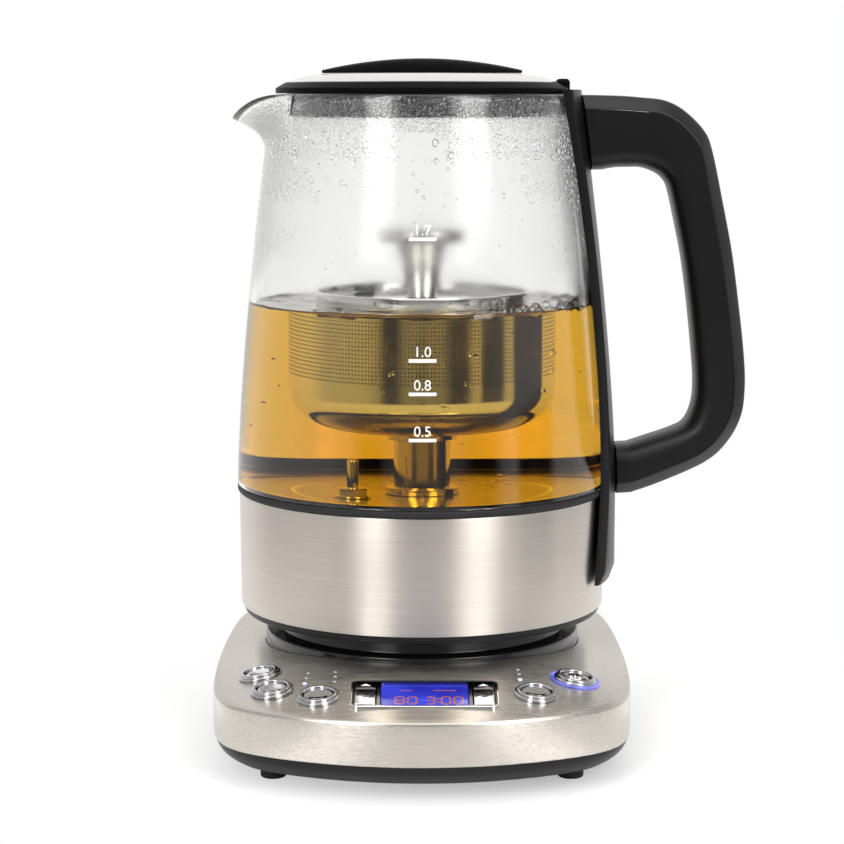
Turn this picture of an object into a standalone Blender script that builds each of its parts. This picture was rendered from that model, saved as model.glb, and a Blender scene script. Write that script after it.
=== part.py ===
"""Automatic tea maker: a glass kettle with a lifting infuser basket, standing on a control base.

Metres, +Z up. Every piece is drawn round the kettle's own upright axis. The root empty then shifts
that axis, so that the world origin is on the table under the middle of the object's outline.
"""

import math

import bmesh
import bpy
from mathutils import Matrix, Vector

MM = 0.001

# Fits that many pieces share
GAP = 0.3 * MM
OVERRUN = 4.0 * MM
MERGE = 0.005 * MM
SMOOTH_ANGLE = math.radians(35)
FINE_STEPS = 36
MEDIUM_STEPS = 14
SMALL_STEPS = 8
CORNER_STEPS = 3
# How far the middle of a quarter round lies in from both faces, as a share of its radius
ROUND_MIDDLE_SHARE = 1 - math.cos(math.radians(45))

# Base: plan
BASE_HALF_WIDTH = 83.4 * MM
BASE_FRONT = 122.0 * MM
BASE_BACK = 96.0 * MM
FRONT_BOW = 29.0 * MM
BACK_BOW = 17.0 * MM
SIDE_BOW = 5.8 * MM
CORNER_SHARPNESS = 13
OUTLINE_STEPS = 48

# Base: plastic tray, feet and screws. Places in plan are shares of the half width, and of the
# distance from the kettle's axis to the front or the back.
TRAY_FLOOR_Z = 5.7 * MM
TRAY_DEPTH = 8.9 * MM
TRAY_WALL = 2.6 * MM
TRAY_KNEE_RISE_SHARE = 0.45
TRAY_KNEE_OUT_SHARE = 0.7
TRAY_FOOT_INSET = 8.4 * MM
TRAY_UPSTAND = 4.6 * MM
FOOT_RADIUS = 5.0 * MM
FOOT_ROUND = 1.3 * MM
FOOT_SIDE_SHARE = 0.687
FOOT_FRONT_SHARE = 0.68
FOOT_BACK_SHARE = 0.646
SCREW_SIDE_SHARE = 0.833
SCREW_FRONT_SHARE = 0.393
SCREW_BACK_SHARE = 0.5
SCREW_RADIUS = 1.4 * MM
SCREW_HEAD_RADIUS = 3.0 * MM
SCREW_HEAD_HEIGHT = 1.5 * MM
BOSS_RADIUS = 3.6 * MM

# Base: steel cover and the gland in its back wall
COVER_SKIRT = 17.0 * MM
COVER_EDGE_ROUND = 1.4 * MM
COVER_WALL = 1.2 * MM
DOME_RISE = 8.5 * MM
DOME_POWER = 1.3
DOME_RING_SHARES = (0.93, 0.84, 0.74, 0.64, 0.54, 0.45)
GLAND_RISE = 9.9 * MM
GLAND_RADIUS = 4.0 * MM
GLAND_BORE = 2.2 * MM
GLAND_LENGTH = 12.0 * MM
GLAND_FLANGE = 1.6 * MM
GLAND_PROUD = 2.0 * MM

# Base: turret that the kettle stands on, and the power plug
TURRET_RADIUS = 65.0 * MM
TURRET_SKIRT = 7.1 * MM
TURRET_LEDGE_PROUD = 2.1 * MM
TURRET_LEDGE_WIDTH = 7.5 * MM
TURRET_RIM_HEIGHT = 8.4 * MM
TURRET_RIM_WIDTH = 4.0 * MM
TURRET_WELL_DEPTH = 6.0 * MM
TURRET_WALL = 2.4 * MM
TURRET_CHAMFER = 0.8 * MM
PLUG_RADIUS = 11.4 * MM
PLUG_FLANGE_WIDTH = 2.9 * MM
PLUG_TIP_RADIUS = 7.0 * MM
PLUG_BORE = 2.6 * MM
PLUG_STEP_HEIGHT = 10.4 * MM
PLUG_TIP_HEIGHT = 6.0 * MM

# Base: control panel. Places are shares of the base's half width and of its front.
BOARD_RISE = 11.7 * MM
BOARD_THICKNESS = 1.6 * MM
BOARD_SIDE_SHARE = 0.72
BOARD_FRONT_SHARE = 0.844
BOARD_BACK_SHARE = 0.508
BOARD_CORNER_SHARE = 0.25
BUTTON_PLACE_SHARES = {
    "brew": (-0.759, 0.541),
    "warm": (-0.687, 0.714),
    "auto": (-0.471, 0.795),
    "start": (0.518, 0.766),
    "power": (0.711, 0.607),
}
RING_RADIUS = 8.4 * MM
RING_BORE = 5.8 * MM
RING_HEIGHT = 2.4 * MM
RING_ROUND = 0.9 * MM
RING_SKIRT_RADIUS = 7.0 * MM
RING_SKIRT = 3.0 * MM
CAP_HEIGHT = 1.5 * MM
CAP_DEPTH = 4.0 * MM
CAP_DISH = 0.5 * MM
CAP_DISH_SHARE = 0.75
BUTTON_CLEARANCE = 0.35 * MM
HALO_WIDTH = 1.3 * MM
HALO_HEIGHT = 0.7 * MM
DOT_RADIUS = 0.75 * MM
DOT_PROUD = 0.25 * MM
DOT_BAR_DROP = 3.1 * MM
DOT_BAR_THICKNESS = 1.5 * MM
DOT_BAR_HALF = 1.5 * MM
DOT_PLACE_SHARES = {
    "left": ((-0.531, 0.578), (-0.536, 0.622), (-0.540, 0.669)),
    "middle": ((-0.403, 0.584), (-0.403, 0.625), (-0.403, 0.668)),
    "right": ((0.448, 0.557), (0.451, 0.598), (0.453, 0.646)),
}

# Base: display, drawn flat round its own centre and then laid on the slope. Its width is a share
# of the base's half width, and its window's a share of its own.
DISPLAY_PLACE_SHARES = (0.012, 0.792)
DISPLAY_WIDTH_SHARE = 0.6715
DISPLAY_DEPTH = 24.8 * MM
DISPLAY_CORNER = 3.0 * MM
DISPLAY_PROUD = 0.5 * MM
DISPLAY_HEIGHT = 5.0 * MM
BEZEL_WALL = 1.2 * MM
WINDOW_WIDTH_SHARE = 0.6
WINDOW_THICKNESS = 1.5 * MM
LCD_THICKNESS = 2.4 * MM
KEY_UP_SHARE = 0.36
KEY_HEIGHT = 4.2 * MM
KEY_PROUD = 0.4 * MM
KEY_ROUND = 1.0 * MM

# Kettle: steel band, black seal and underside
BAND_LIFT = 2.0 * MM
BAND_HEIGHT = 46.5 * MM
BAND_FOOT_RADIUS = 75.0 * MM
BAND_FLARE = 0.4 * MM
BAND_WALL = 0.9 * MM
UNDER_LIP_DROP = 3.2 * MM
UNDER_LIP_CLEARANCE = 5.3 * MM
UNDER_THICKNESS = 2.6 * MM
UNDER_WALL = 2.4 * MM
UNDER_UPSTAND = 9.4 * MM
UNDER_ROUND = 1.6 * MM
SOCKET_CLEARANCE = 0.6 * MM
SOCKET_HEADROOM = 3.6 * MM
SOCKET_WALL = 5.4 * MM
SOCKET_FLANGE_WIDTH = 6.6 * MM
SOCKET_FLANGE = 2.2 * MM
SEAL_HEIGHT = 2.8 * MM
SEAL_PROUD = 0.8 * MM
SEAL_WALL = 1.7 * MM
SEAL_UPSTAND = 4.8 * MM

# Kettle: glass
GLASS_HEIGHT = 158.1 * MM
GLASS_TAPER = 15.3 * MM
GLASS_WALL = 2.8 * MM
GLASS_TAPER_POWER = 1.445
GLASS_RING_SHARES = (0.0, 0.17, 0.34, 0.51, 0.68, 0.85)
SPOUT_ROWS = 4
SPOUT_REACH = 17.0 * MM
SPOUT_DROOP = 9.6 * MM
SPOUT_HEIGHT = 24.0 * MM
SPOUT_HALF_ANGLE = math.radians(33)
SPOUT_REACH_ACROSS_POWER = 0.6
SPOUT_REACH_UP_POWER = 2
SPOUT_DROOP_ACROSS_POWER = 2.5
SPOUT_DROOP_UP_POWER = 1.25

# Kettle: heating plate and what stands on it or hangs under it
PLATE_THICKNESS = 1.5 * MM
PLATE_BORE = 5.0 * MM
HEATER_RADIUS = 48.0 * MM
HEATER_TUBE = 4.0 * MM
HEATER_SWEEP = math.radians(310)
HEATER_STEPS = 22
HEATER_SIDES = 8
POST_RADIUS = 8.8 * MM
POST_WALL = 1.4 * MM
POST_FLANGE_WIDTH = 2.7 * MM
POST_FLANGE = 2.4 * MM
PROBE_REACH = 26.6 * MM
PROBE_ANGLE = math.radians(212)
PROBE_RADIUS = 1.9 * MM
PROBE_HEIGHT = 14.0 * MM
PROBE_NUT_RADIUS = 6.0 * MM
PROBE_NUT_HEIGHT = 3.6 * MM

# Infuser basket: how far it lifts, and the lift inside the post
BASKET_LIFT_OFF = 26.1 * MM
BASKET_TRAVEL = 40.0 * MM
MOTOR_RADIUS = 12.0 * MM
MOTOR_HEIGHT = 19.0 * MM
MOTOR_DROP = 4.6 * MM
LIFT_SCREW_RADIUS = 2.0 * MM
CARRIER_HEIGHT = 12.0 * MM
CARRIER_DROP = 8.2 * MM
CARRIER_END_CLEARANCE = 6.0 * MM

# Infuser basket: its pieces
BASKET_RADIUS = 43.5 * MM
BASKET_RIM_WIDTH = 1.5 * MM
BASKET_CORNER = 15.0 * MM
BASKET_WALL = 1.0 * MM
BASKET_CORNER_STEPS = 4
SLEEVE_DROP = 4.2 * MM
SLEEVE_WALL = 1.5 * MM
SLEEVE_CLEARANCE = 0.7 * MM
BASKET_LID_CLEARANCE = 2.0 * MM
BASKET_LID_THICKNESS = 1.2 * MM
BASKET_LID_DROP = 3.0 * MM
KNOB_HEIGHT = 27.8 * MM
KNOB_NECK_RADIUS = 6.0 * MM
KNOB_SHOULDER_RADIUS = 10.6 * MM
KNOB_RADIUS = 18.3 * MM
KNOB_THICKNESS = 5.2 * MM
KNOB_ROUND = 1.6 * MM

# Kettle: strap down the back of the glass, and handle
STRAP_RISE = 11.4 * MM
STRAP_PROUD = 1.8 * MM
STRAP_CLEARANCE = 0.4 * MM
STRAP_THICKNESS = 3.3 * MM
STRAP_TOP_HALF = 26.0 * MM
STRAP_WAIST_HALF = 21.0 * MM
STRAP_FOOT_HALF = 32.0 * MM
STRAP_WAIST_SHARE = 0.6
STRAP_CHAMFER = 5.0 * MM
STRAP_TIP_SHARE = 0.45
STRAP_ROWS = 11
STRAP_COLUMNS = 7
HANDLE_REACH = 132.4 * MM
HANDLE_RISE = 32.6 * MM
HANDLE_DROP = 2.1 * MM
HANDLE_HALF_WIDTH = 13.4 * MM
HANDLE_SPINE_HALF = 7.6 * MM
HANDLE_BELLY_HALF = 5.5 * MM
HANDLE_COVER_DEPTH = 5.4 * MM
HANDLE_BELLY_DEPTH = 8.0 * MM
HANDLE_BELLY_ROUND_SHARES = (0.67, 0.45)
# Each row: reach and height of the outer line, then of the inner line, along the grip.
HANDLE_LINE_SHARES = (
    (0.520, 1.000, 0.545, 0.816),
    (0.604, 0.998, 0.589, 0.822),
    (0.668, 0.994, 0.628, 0.823),
    (0.738, 0.987, 0.671, 0.822),
    (0.798, 0.963, 0.717, 0.808),
    (0.860, 0.914, 0.742, 0.790),
    (0.887, 0.864, 0.756, 0.765),
    (0.921, 0.740, 0.778, 0.687),
    (0.952, 0.616, 0.800, 0.601),
    (0.975, 0.490, 0.820, 0.490),
    (0.994, 0.365, 0.837, 0.365),
    (1.000, 0.276, 0.844, 0.289),
    (0.989, 0.201, 0.839, 0.232),
    (0.947, 0.136, 0.815, 0.187),
    (0.878, 0.085, 0.770, 0.167),
    (0.739, 0.034, 0.693, 0.146),
    (0.640, 0.006, 0.634, 0.130),
)

# Lid
LID_OVERHANG = 1.6 * MM
LID_RIM_WIDTH = 4.3 * MM
LID_RIM_EDGE_HEIGHT = 2.1 * MM
LID_RIM_HEIGHT = 4.4 * MM
LID_CROWN = 3.2 * MM
LID_CROWN_REACH_SHARE = 0.45
LID_CROWN_RISE_SHARE = 0.75
LID_PLATE_WALL = 1.0 * MM
LID_DISH_RADIUS = 36.0 * MM
LID_DISH_LIP = 2.0 * MM
LID_DISH_SLOPE = 7.0 * MM
LID_DISH_DEPTH = 10.8 * MM
LID_PLUG_DEPTH = 9.6 * MM
LID_PLUG_WALL = 1.8 * MM
LID_WINDOW_RISE = 3.1 * MM
LID_WINDOW_HEIGHT = 3.2 * MM
LID_GASKET_HEIGHT = 2.2 * MM
LID_TAB_WIDTH = 13.0 * MM
LID_TAB_LENGTH = 4.6 * MM
LID_TAB_PROUD = 1.0 * MM
LID_TAB_HEIGHT = 4.6 * MM
GRIP_HALF_LENGTH = 40.2 * MM
GRIP_HALF_WIDTH = 11.0 * MM
GRIP_RISE = 6.2 * MM
GRIP_END_THICKNESS = 1.2 * MM
GRIP_END_WIDTH_SHARE = 0.8
GRIP_SHOULDER_SHARE = 0.6
GRIP_CROWN_SHARE = 0.6
GRIP_STEPS = 10

# Places that follow from the sizes above, from the table upwards
BASE_MIDDLE_Y = (BASE_BACK - BASE_FRONT) / 2
BASE_HALF_DEPTH = (BASE_BACK + BASE_FRONT) / 2
COVER_FOOT_Z = TRAY_FLOOR_Z + TRAY_DEPTH
COVER_EDGE_Z = COVER_FOOT_Z + COVER_SKIRT
DOME_TOP_Z = COVER_EDGE_Z + DOME_RISE
GLAND_Z = COVER_FOOT_Z + GLAND_RISE
BOARD_Z = TRAY_FLOOR_Z + TRAY_WALL + BOARD_RISE
DOT_BAR_Z = COVER_EDGE_Z - DOT_BAR_DROP
DISPLAY_WIDTH = DISPLAY_WIDTH_SHARE * BASE_HALF_WIDTH
WINDOW_WIDTH = WINDOW_WIDTH_SHARE * DISPLAY_WIDTH
TURRET_HOLE = TURRET_RADIUS + GAP
TURRET_FOOT_Z = DOME_TOP_Z - TURRET_SKIRT
TURRET_LEDGE_Z = DOME_TOP_Z + TURRET_LEDGE_PROUD
TURRET_TOP_Z = TURRET_LEDGE_Z + TURRET_RIM_HEIGHT
TURRET_FLOOR_Z = TURRET_TOP_Z - TURRET_WELL_DEPTH
TURRET_RIM_RADIUS = TURRET_RADIUS - TURRET_LEDGE_WIDTH
PLUG_FLANGE_RADIUS = PLUG_RADIUS + PLUG_FLANGE_WIDTH
PLUG_STEP_Z = TURRET_FLOOR_Z + PLUG_STEP_HEIGHT
PLUG_TOP_Z = PLUG_STEP_Z + PLUG_TIP_HEIGHT
BAND_FOOT_Z = TURRET_TOP_Z + BAND_LIFT
BAND_TOP_Z = BAND_FOOT_Z + BAND_HEIGHT
BAND_TOP_RADIUS = BAND_FOOT_RADIUS + BAND_FLARE
UNDER_RADIUS = BAND_FOOT_RADIUS - BAND_WALL - GAP
UNDER_FACE_Z = TURRET_TOP_Z + GAP
UNDER_LIP_Z = BAND_FOOT_Z - UNDER_LIP_DROP
UNDER_UPSTAND_Z = BAND_FOOT_Z + UNDER_UPSTAND
SOCKET_BORE = PLUG_RADIUS + SOCKET_CLEARANCE
SOCKET_RADIUS = SOCKET_BORE + SOCKET_WALL
SOCKET_TOP_Z = PLUG_TOP_Z + SOCKET_HEADROOM + SOCKET_WALL
PLATE_TOP_Z = BAND_TOP_Z
PLATE_RADIUS = BAND_TOP_RADIUS - BAND_WALL - GAP
SEAL_FOOT_Z = BAND_TOP_Z + GAP
SEAL_TOP_Z = SEAL_FOOT_Z + SEAL_HEIGHT
SEAL_UPSTAND_Z = SEAL_TOP_Z + SEAL_UPSTAND
GLASS_FOOT_Z = SEAL_TOP_Z + GAP
GLASS_TOP_Z = GLASS_FOOT_Z + GLASS_HEIGHT
GLASS_FOOT_RADIUS = BAND_TOP_RADIUS + SEAL_PROUD
GLASS_MOUTH_RADIUS = GLASS_FOOT_RADIUS - GLASS_TAPER
MOTOR_TOP_Z = PLATE_TOP_Z - PLATE_THICKNESS - MOTOR_DROP
BASKET_FLOOR_Z = PLATE_TOP_Z + BASKET_LIFT_OFF
SLEEVE_FOOT_Z = BASKET_FLOOR_Z - SLEEVE_DROP
SLEEVE_BORE = POST_RADIUS + SLEEVE_CLEARANCE
SLEEVE_RADIUS = SLEEVE_BORE + SLEEVE_WALL
CARRIER_FOOT_Z = BASKET_FLOOR_Z - CARRIER_DROP
POST_TOP_Z = CARRIER_FOOT_Z + CARRIER_HEIGHT + BASKET_TRAVEL + CARRIER_END_CLEARANCE
BASKET_LID_Z = POST_TOP_Z + BASKET_LID_CLEARANCE + BASKET_LID_THICKNESS
BASKET_RIM_Z = BASKET_LID_Z + BASKET_LID_DROP
KNOB_TOP_Z = BASKET_LID_Z + KNOB_HEIGHT
STRAP_FOOT_Z = BAND_FOOT_Z + STRAP_RISE
STRAP_TOP_Z = GLASS_TOP_Z + STRAP_PROUD
HANDLE_FOOT_Z = STRAP_FOOT_Z + HANDLE_RISE
HANDLE_TOP_Z = STRAP_TOP_Z - HANDLE_DROP
LID_SEAT_Z = GLASS_TOP_Z + GAP
LID_RADIUS = GLASS_MOUTH_RADIUS - LID_OVERHANG
LID_RIM_BORE = LID_RADIUS - LID_RIM_WIDTH
LID_RIM_TOP_Z = LID_SEAT_Z + LID_RIM_HEIGHT
LID_PLATE_EDGE_Z = LID_RIM_TOP_Z + GAP
LID_PLATE_TOP_Z = LID_PLATE_EDGE_Z + LID_CROWN
LID_DISH_Z = LID_PLATE_TOP_Z - LID_DISH_DEPTH
LID_PLUG_FOOT_Z = LID_SEAT_Z - LID_PLUG_DEPTH
LID_WINDOW_FOOT_Z = LID_PLUG_FOOT_Z + LID_WINDOW_RISE
AXIS_SHIFT = Vector(
    (
        (BASE_HALF_WIDTH - HANDLE_REACH) / 2,
        (BASE_FRONT - BASE_BACK - GLAND_PROUD) / 2,
        0,
    )
)

# Name: colour, roughness, metallic, see-through
FINISHES = {
    "brushed_steel": ((0.62, 0.59, 0.55), 0.32, 1.0, 0.0),
    "polished_steel": ((0.72, 0.71, 0.69), 0.12, 1.0, 0.0),
    "satin_black_plastic": ((0.022, 0.022, 0.024), 0.42, 0.0, 0.0),
    "gloss_black_plastic": ((0.012, 0.012, 0.013), 0.16, 0.0, 0.0),
    "black_rubber": ((0.018, 0.018, 0.018), 0.75, 0.0, 0.0),
    "clear_glass": ((0.96, 0.98, 0.98), 0.02, 0.0, 0.95),
    "clear_silicone": ((0.45, 0.46, 0.46), 0.35, 0.0, 0.5),
    "chrome": ((0.80, 0.80, 0.81), 0.07, 1.0, 0.0),
    "smoke_plastic": ((0.30, 0.32, 0.40), 0.10, 0.0, 0.6),
    "blue_display": ((0.04, 0.08, 0.85), 0.25, 0.0, 0.0),
    "light_pipe": ((0.55, 0.60, 0.95), 0.20, 0.0, 0.4),
    "green_board": ((0.03, 0.16, 0.07), 0.50, 0.0, 0.0),
    "grey_metal": ((0.42, 0.42, 0.43), 0.38, 1.0, 0.0),
}


def clear_scene():
    for obj in list(bpy.data.objects):
        bpy.data.objects.remove(obj, do_unlink=True)


def finish_material(name):
    """The Principled material of that name from FINISHES, made the first time that it is asked for."""
    if name in bpy.data.materials:
        return bpy.data.materials[name]
    colour, roughness, metallic, clear = FINISHES[name]
    material = bpy.data.materials.new(name)
    material.use_nodes = True
    shader = material.node_tree.nodes["Principled BSDF"]
    shader.inputs["Base Color"].default_value = (*colour, 1.0)
    shader.inputs["Roughness"].default_value = roughness
    shader.inputs["Metallic"].default_value = metallic
    shader.inputs["Transmission Weight"].default_value = clear
    return material


def add_empty(name, parent=None, location=(0, 0, 0)):
    empty = bpy.data.objects.new(name, None)
    empty.parent = parent
    empty.location = location
    bpy.context.scene.collection.objects.link(empty)
    return empty


def add_solid(name, bm, finish, parent, matrix=None):
    """Turns a bmesh into a named, smooth-shaded object on its parent."""
    bmesh.ops.remove_doubles(bm, verts=bm.verts, dist=MERGE)
    bmesh.ops.recalc_face_normals(bm, faces=bm.faces)
    mesh = bpy.data.meshes.new(name)
    bm.to_mesh(mesh)
    bm.free()
    obj = bpy.data.objects.new(name, mesh)
    bpy.context.scene.collection.objects.link(obj)
    obj.parent = parent
    if matrix is not None:
        obj.matrix_local = matrix
    mesh.shade_smooth()
    mesh.set_sharp_from_angle(angle=SMOOTH_ANGLE)
    if finish:
        mesh.materials.append(finish_material(finish))
    return obj


def combine(target, cutter, operation="DIFFERENCE"):
    """A Boolean of the target with a hidden helper object."""
    cutter.hide_render = True
    cutter.display_type = "WIRE"
    modifier = target.modifiers.new(cutter.name, "BOOLEAN")
    modifier.operation = operation
    modifier.object = cutter
    modifier.solver = "EXACT"


def turned(profile, steps):
    """A closed outline of (radius, height) corners spun round Z. It may start and end on the axis."""
    bm = bmesh.new()
    corners = [bm.verts.new((radius, 0, height)) for radius, height in profile]
    pairs = list(zip(corners, corners[1:]))
    if profile[0][0] > 0:
        pairs.append((corners[-1], corners[0]))
    edges = [bm.edges.new(pair) for pair in pairs]
    bmesh.ops.spin(
        bm,
        geom=corners + edges,
        cent=(0, 0, 0),
        axis=(0, 0, 1),
        angle=math.tau,
        steps=steps,
        use_merge=True,
    )
    return bm


def lofted(rings, ends="capped"):
    """Skins rings of points that match one to one. The ends are capped, or joined to each other."""
    bm = bmesh.new()
    rows = [[bm.verts.new(point) for point in ring] for ring in rings]
    pairs = list(zip(rows, rows[1:]))
    if ends == "joined":
        pairs.append((rows[-1], rows[0]))
    for first, second in pairs:
        for i in range(len(first)):
            j = (i + 1) % len(first)
            bm.faces.new((first[i], first[j], second[j], second[i]))
    if ends == "capped":
        bm.faces.new(rows[0])
        bm.faces.new(rows[-1])
    return bm


def arc(centre_r, centre_z, radius, start, stop, steps):
    """Points of a round corner in a turned outline, with the angles in degrees."""
    angles = [math.radians(start + (stop - start) * i / steps) for i in range(steps + 1)]
    return [(centre_r + radius * math.cos(a), centre_z + radius * math.sin(a)) for a in angles]


def mix(first, second, share):
    return first + (second - first) * share


# Base plan and dome


def edge_distance(direction_x, direction_y):
    """How far the base's edge is from its middle, along a direction in plan."""
    across = abs(direction_x)
    along = abs(direction_y)
    end_bow = FRONT_BOW if direction_y < 0 else BACK_BOW
    side_root = math.sqrt(across**2 + 4 * SIDE_BOW * BASE_HALF_WIDTH * (along / BASE_HALF_DEPTH) ** 2)
    end_root = math.sqrt(along**2 + 4 * end_bow * BASE_HALF_DEPTH * (across / BASE_HALF_WIDTH) ** 2)
    to_side = 2 * BASE_HALF_WIDTH / (across + side_root)
    to_end = 2 * BASE_HALF_DEPTH / (along + end_root)
    power = CORNER_SHARPNESS
    nearest = min(to_side, to_end)
    blend = (nearest / to_side) ** power + (nearest / to_end) ** power
    return nearest * blend ** (-1 / power)


def base_outline(z, inset=0.0, share=1.0):
    """The base's plan outline at a height, drawn in square to its edge or shrunk about its middle."""
    points = []
    for i in range(OUTLINE_STEPS):
        angle = math.tau * i / OUTLINE_STEPS
        reach = edge_distance(math.cos(angle), math.sin(angle))
        points.append(Vector((math.cos(angle), math.sin(angle), 0)) * reach)
    ring = []
    for i, point in enumerate(points):
        along = points[(i + 1) % OUTLINE_STEPS] - points[i - 1]
        outward = Vector((along.y, -along.x, 0)).normalized()
        place = (point - outward * inset) * share
        ring.append(Vector((place.x, place.y + BASE_MIDDLE_Y, z)))
    return ring


def dome_height(share):
    """Height of the cover's top where the outline is shrunk to that share."""
    flat = DOME_RING_SHARES[-1]
    out = max(0.0, (share - flat) / (1 - flat))
    return COVER_EDGE_Z + DOME_RISE * (1 - out**DOME_POWER)


def cover_top(x, y):
    """Height of the cover's top over a point of the plan."""
    offset = Vector((x, y - BASE_MIDDLE_Y))
    if offset.length < MERGE:
        return dome_height(0)
    direction = offset.normalized()
    return dome_height(offset.length / edge_distance(direction.x, direction.y))


def on_cover(x, y):
    """A frame that stands square on the cover's top at a point of the plan."""
    step = GAP
    slope_x = (cover_top(x + step, y) - cover_top(x - step, y)) / (2 * step)
    slope_y = (cover_top(x, y + step) - cover_top(x, y - step)) / (2 * step)
    normal = Vector((-slope_x, -slope_y, 1)).normalized()
    turn = Vector((0, 0, 1)).rotation_difference(normal)
    return Matrix.Translation((x, y, cover_top(x, y))) @ turn.to_matrix().to_4x4()


def cylinder(radius, low_z, high_z, steps=SMALL_STEPS):
    return turned([(0, low_z), (radius, low_z), (radius, high_z), (0, high_z)], steps)


def moved(bm, offset):
    bmesh.ops.translate(bm, verts=bm.verts, vec=offset)
    return bm


def rounded_plate(width, depth, low_z, high_z, corner, centre=(0, 0)):
    """A flat plate with round corners in plan."""
    ring = []
    for quarter, (side_x, side_y) in enumerate(((1, 1), (-1, 1), (-1, -1), (1, -1))):
        middle_x = centre[0] + side_x * (width / 2 - corner)
        middle_y = centre[1] + side_y * (depth / 2 - corner)
        for i in range(CORNER_STEPS + 1):
            angle = math.radians(90 * quarter + 90 * i / CORNER_STEPS)
            ring.append((middle_x + corner * math.cos(angle), middle_y + corner * math.sin(angle)))
    return lofted([[(x, y, z) for x, y in ring] for z in (low_z, high_z)])


def make_base_cover(parent):
    """The domed steel shell, with its skirt, four screw pillars and every hole through its top."""
    edge = COVER_EDGE_ROUND
    outside = [base_outline(COVER_FOOT_Z), base_outline(COVER_EDGE_Z - edge)]
    middle = edge * ROUND_MIDDLE_SHARE
    outside.append(base_outline(COVER_EDGE_Z - middle, middle))
    outside.append(base_outline(COVER_EDGE_Z, edge))
    outside += [base_outline(dome_height(share), share=share) for share in DOME_RING_SHARES]
    inside = [base_outline(COVER_FOOT_Z, COVER_WALL), base_outline(COVER_EDGE_Z - edge, COVER_WALL)]
    for share in DOME_RING_SHARES[1::2]:
        inside.append(base_outline(dome_height(share) - COVER_WALL, share=share))
    bm = lofted(inside[::-1] + outside)
    cover = add_solid("base_cover", bm, "brushed_steel", parent)
    for number, (x, y) in enumerate(screw_places()):
        pillar = cylinder(BOSS_RADIUS, TRAY_FLOOR_Z + TRAY_WALL + GAP, cover_top(x, y) - COVER_WALL / 2)
        combine(cover, add_solid(f"pillar_{number}", moved(pillar, (x, y, 0)), None, parent), "UNION")
        bore = cylinder(SCREW_RADIUS + GAP, TRAY_FLOOR_Z, screw_tip_z() + GAP)
        combine(cover, add_solid(f"pillar_bore_{number}", moved(bore, (x, y, 0)), None, parent))
    seat = cylinder(TURRET_HOLE, COVER_FOOT_Z, TURRET_TOP_Z, FINE_STEPS)
    combine(cover, add_solid("turret_hole", seat, None, parent))
    window = rounded_plate(
        DISPLAY_WIDTH + 2 * GAP,
        DISPLAY_DEPTH + 2 * GAP,
        -DISPLAY_HEIGHT - OVERRUN,
        OVERRUN,
        DISPLAY_CORNER,
    )
    combine(cover, add_solid("display_hole", window, None, parent, on_cover(*panel_place(DISPLAY_PLACE_SHARES))))
    for name, shares in BUTTON_PLACE_SHARES.items():
        hole = cylinder(RING_SKIRT_RADIUS + GAP, -OVERRUN, OVERRUN, MEDIUM_STEPS)
        combine(cover, add_solid(f"{name}_hole", hole, None, parent, on_cover(*panel_place(shares))))
    for side, places in DOT_PLACE_SHARES.items():
        for number, shares in enumerate(places):
            x, y = panel_place(shares)
            hole = cylinder(DOT_RADIUS + GAP, DOT_BAR_Z, TURRET_TOP_Z)
            combine(cover, add_solid(f"dot_hole_{side}_{number}", moved(hole, (x, y, 0)), None, parent))
    inlet = cylinder(GLAND_RADIUS + GAP, -GLAND_LENGTH, OVERRUN, MEDIUM_STEPS)
    combine(cover, add_solid("gland_hole", inlet, None, parent, gland_frame()))
    return cover


def panel_place(shares):
    """A place in front of the kettle, from its shares of the base's half width and front."""
    return shares[0] * BASE_HALF_WIDTH, -shares[1] * BASE_FRONT


def screw_places():
    across = SCREW_SIDE_SHARE * BASE_HALF_WIDTH
    lines = (-SCREW_FRONT_SHARE * BASE_FRONT, SCREW_BACK_SHARE * BASE_BACK)
    return [(side * across, y) for y in lines for side in (-1, 1)]


def screw_tip_z():
    return COVER_EDGE_Z - 2 * COVER_WALL - OVERRUN


def gland_frame():
    """Square to the back wall, with its own Z pointing out of the base."""
    turn = Matrix.Rotation(math.radians(-90), 4, "X")
    return Matrix.Translation((0, BASE_BACK, GLAND_Z)) @ turn


def make_base_tray(parent):
    """The black floor of the base, a tub whose upstand fits inside the steel skirt."""
    flange_z = COVER_FOOT_Z - GAP
    knee_z = mix(TRAY_FLOOR_Z, flange_z, TRAY_KNEE_RISE_SHARE)
    lip_inset = COVER_WALL / 2
    upstand_inset = COVER_WALL + GAP
    rings = [
        base_outline(TRAY_FLOOR_Z, TRAY_FOOT_INSET),
        base_outline(knee_z, mix(TRAY_FOOT_INSET, lip_inset, TRAY_KNEE_OUT_SHARE)),
        base_outline(flange_z, lip_inset),
        base_outline(flange_z, upstand_inset),
        base_outline(flange_z + TRAY_UPSTAND, upstand_inset),
        base_outline(flange_z + TRAY_UPSTAND, upstand_inset + TRAY_WALL),
        base_outline(TRAY_FLOOR_Z + TRAY_WALL, TRAY_FOOT_INSET),
    ]
    tray = add_solid("base_tray", lofted(rings), "satin_black_plastic", parent)
    for number, (x, y) in enumerate(screw_places()):
        hole = cylinder(SCREW_RADIUS + GAP, 0, TRAY_FLOOR_Z + TRAY_WALL + OVERRUN)
        combine(tray, add_solid(f"tray_hole_{number}", moved(hole, (x, y, 0)), None, parent))


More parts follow.
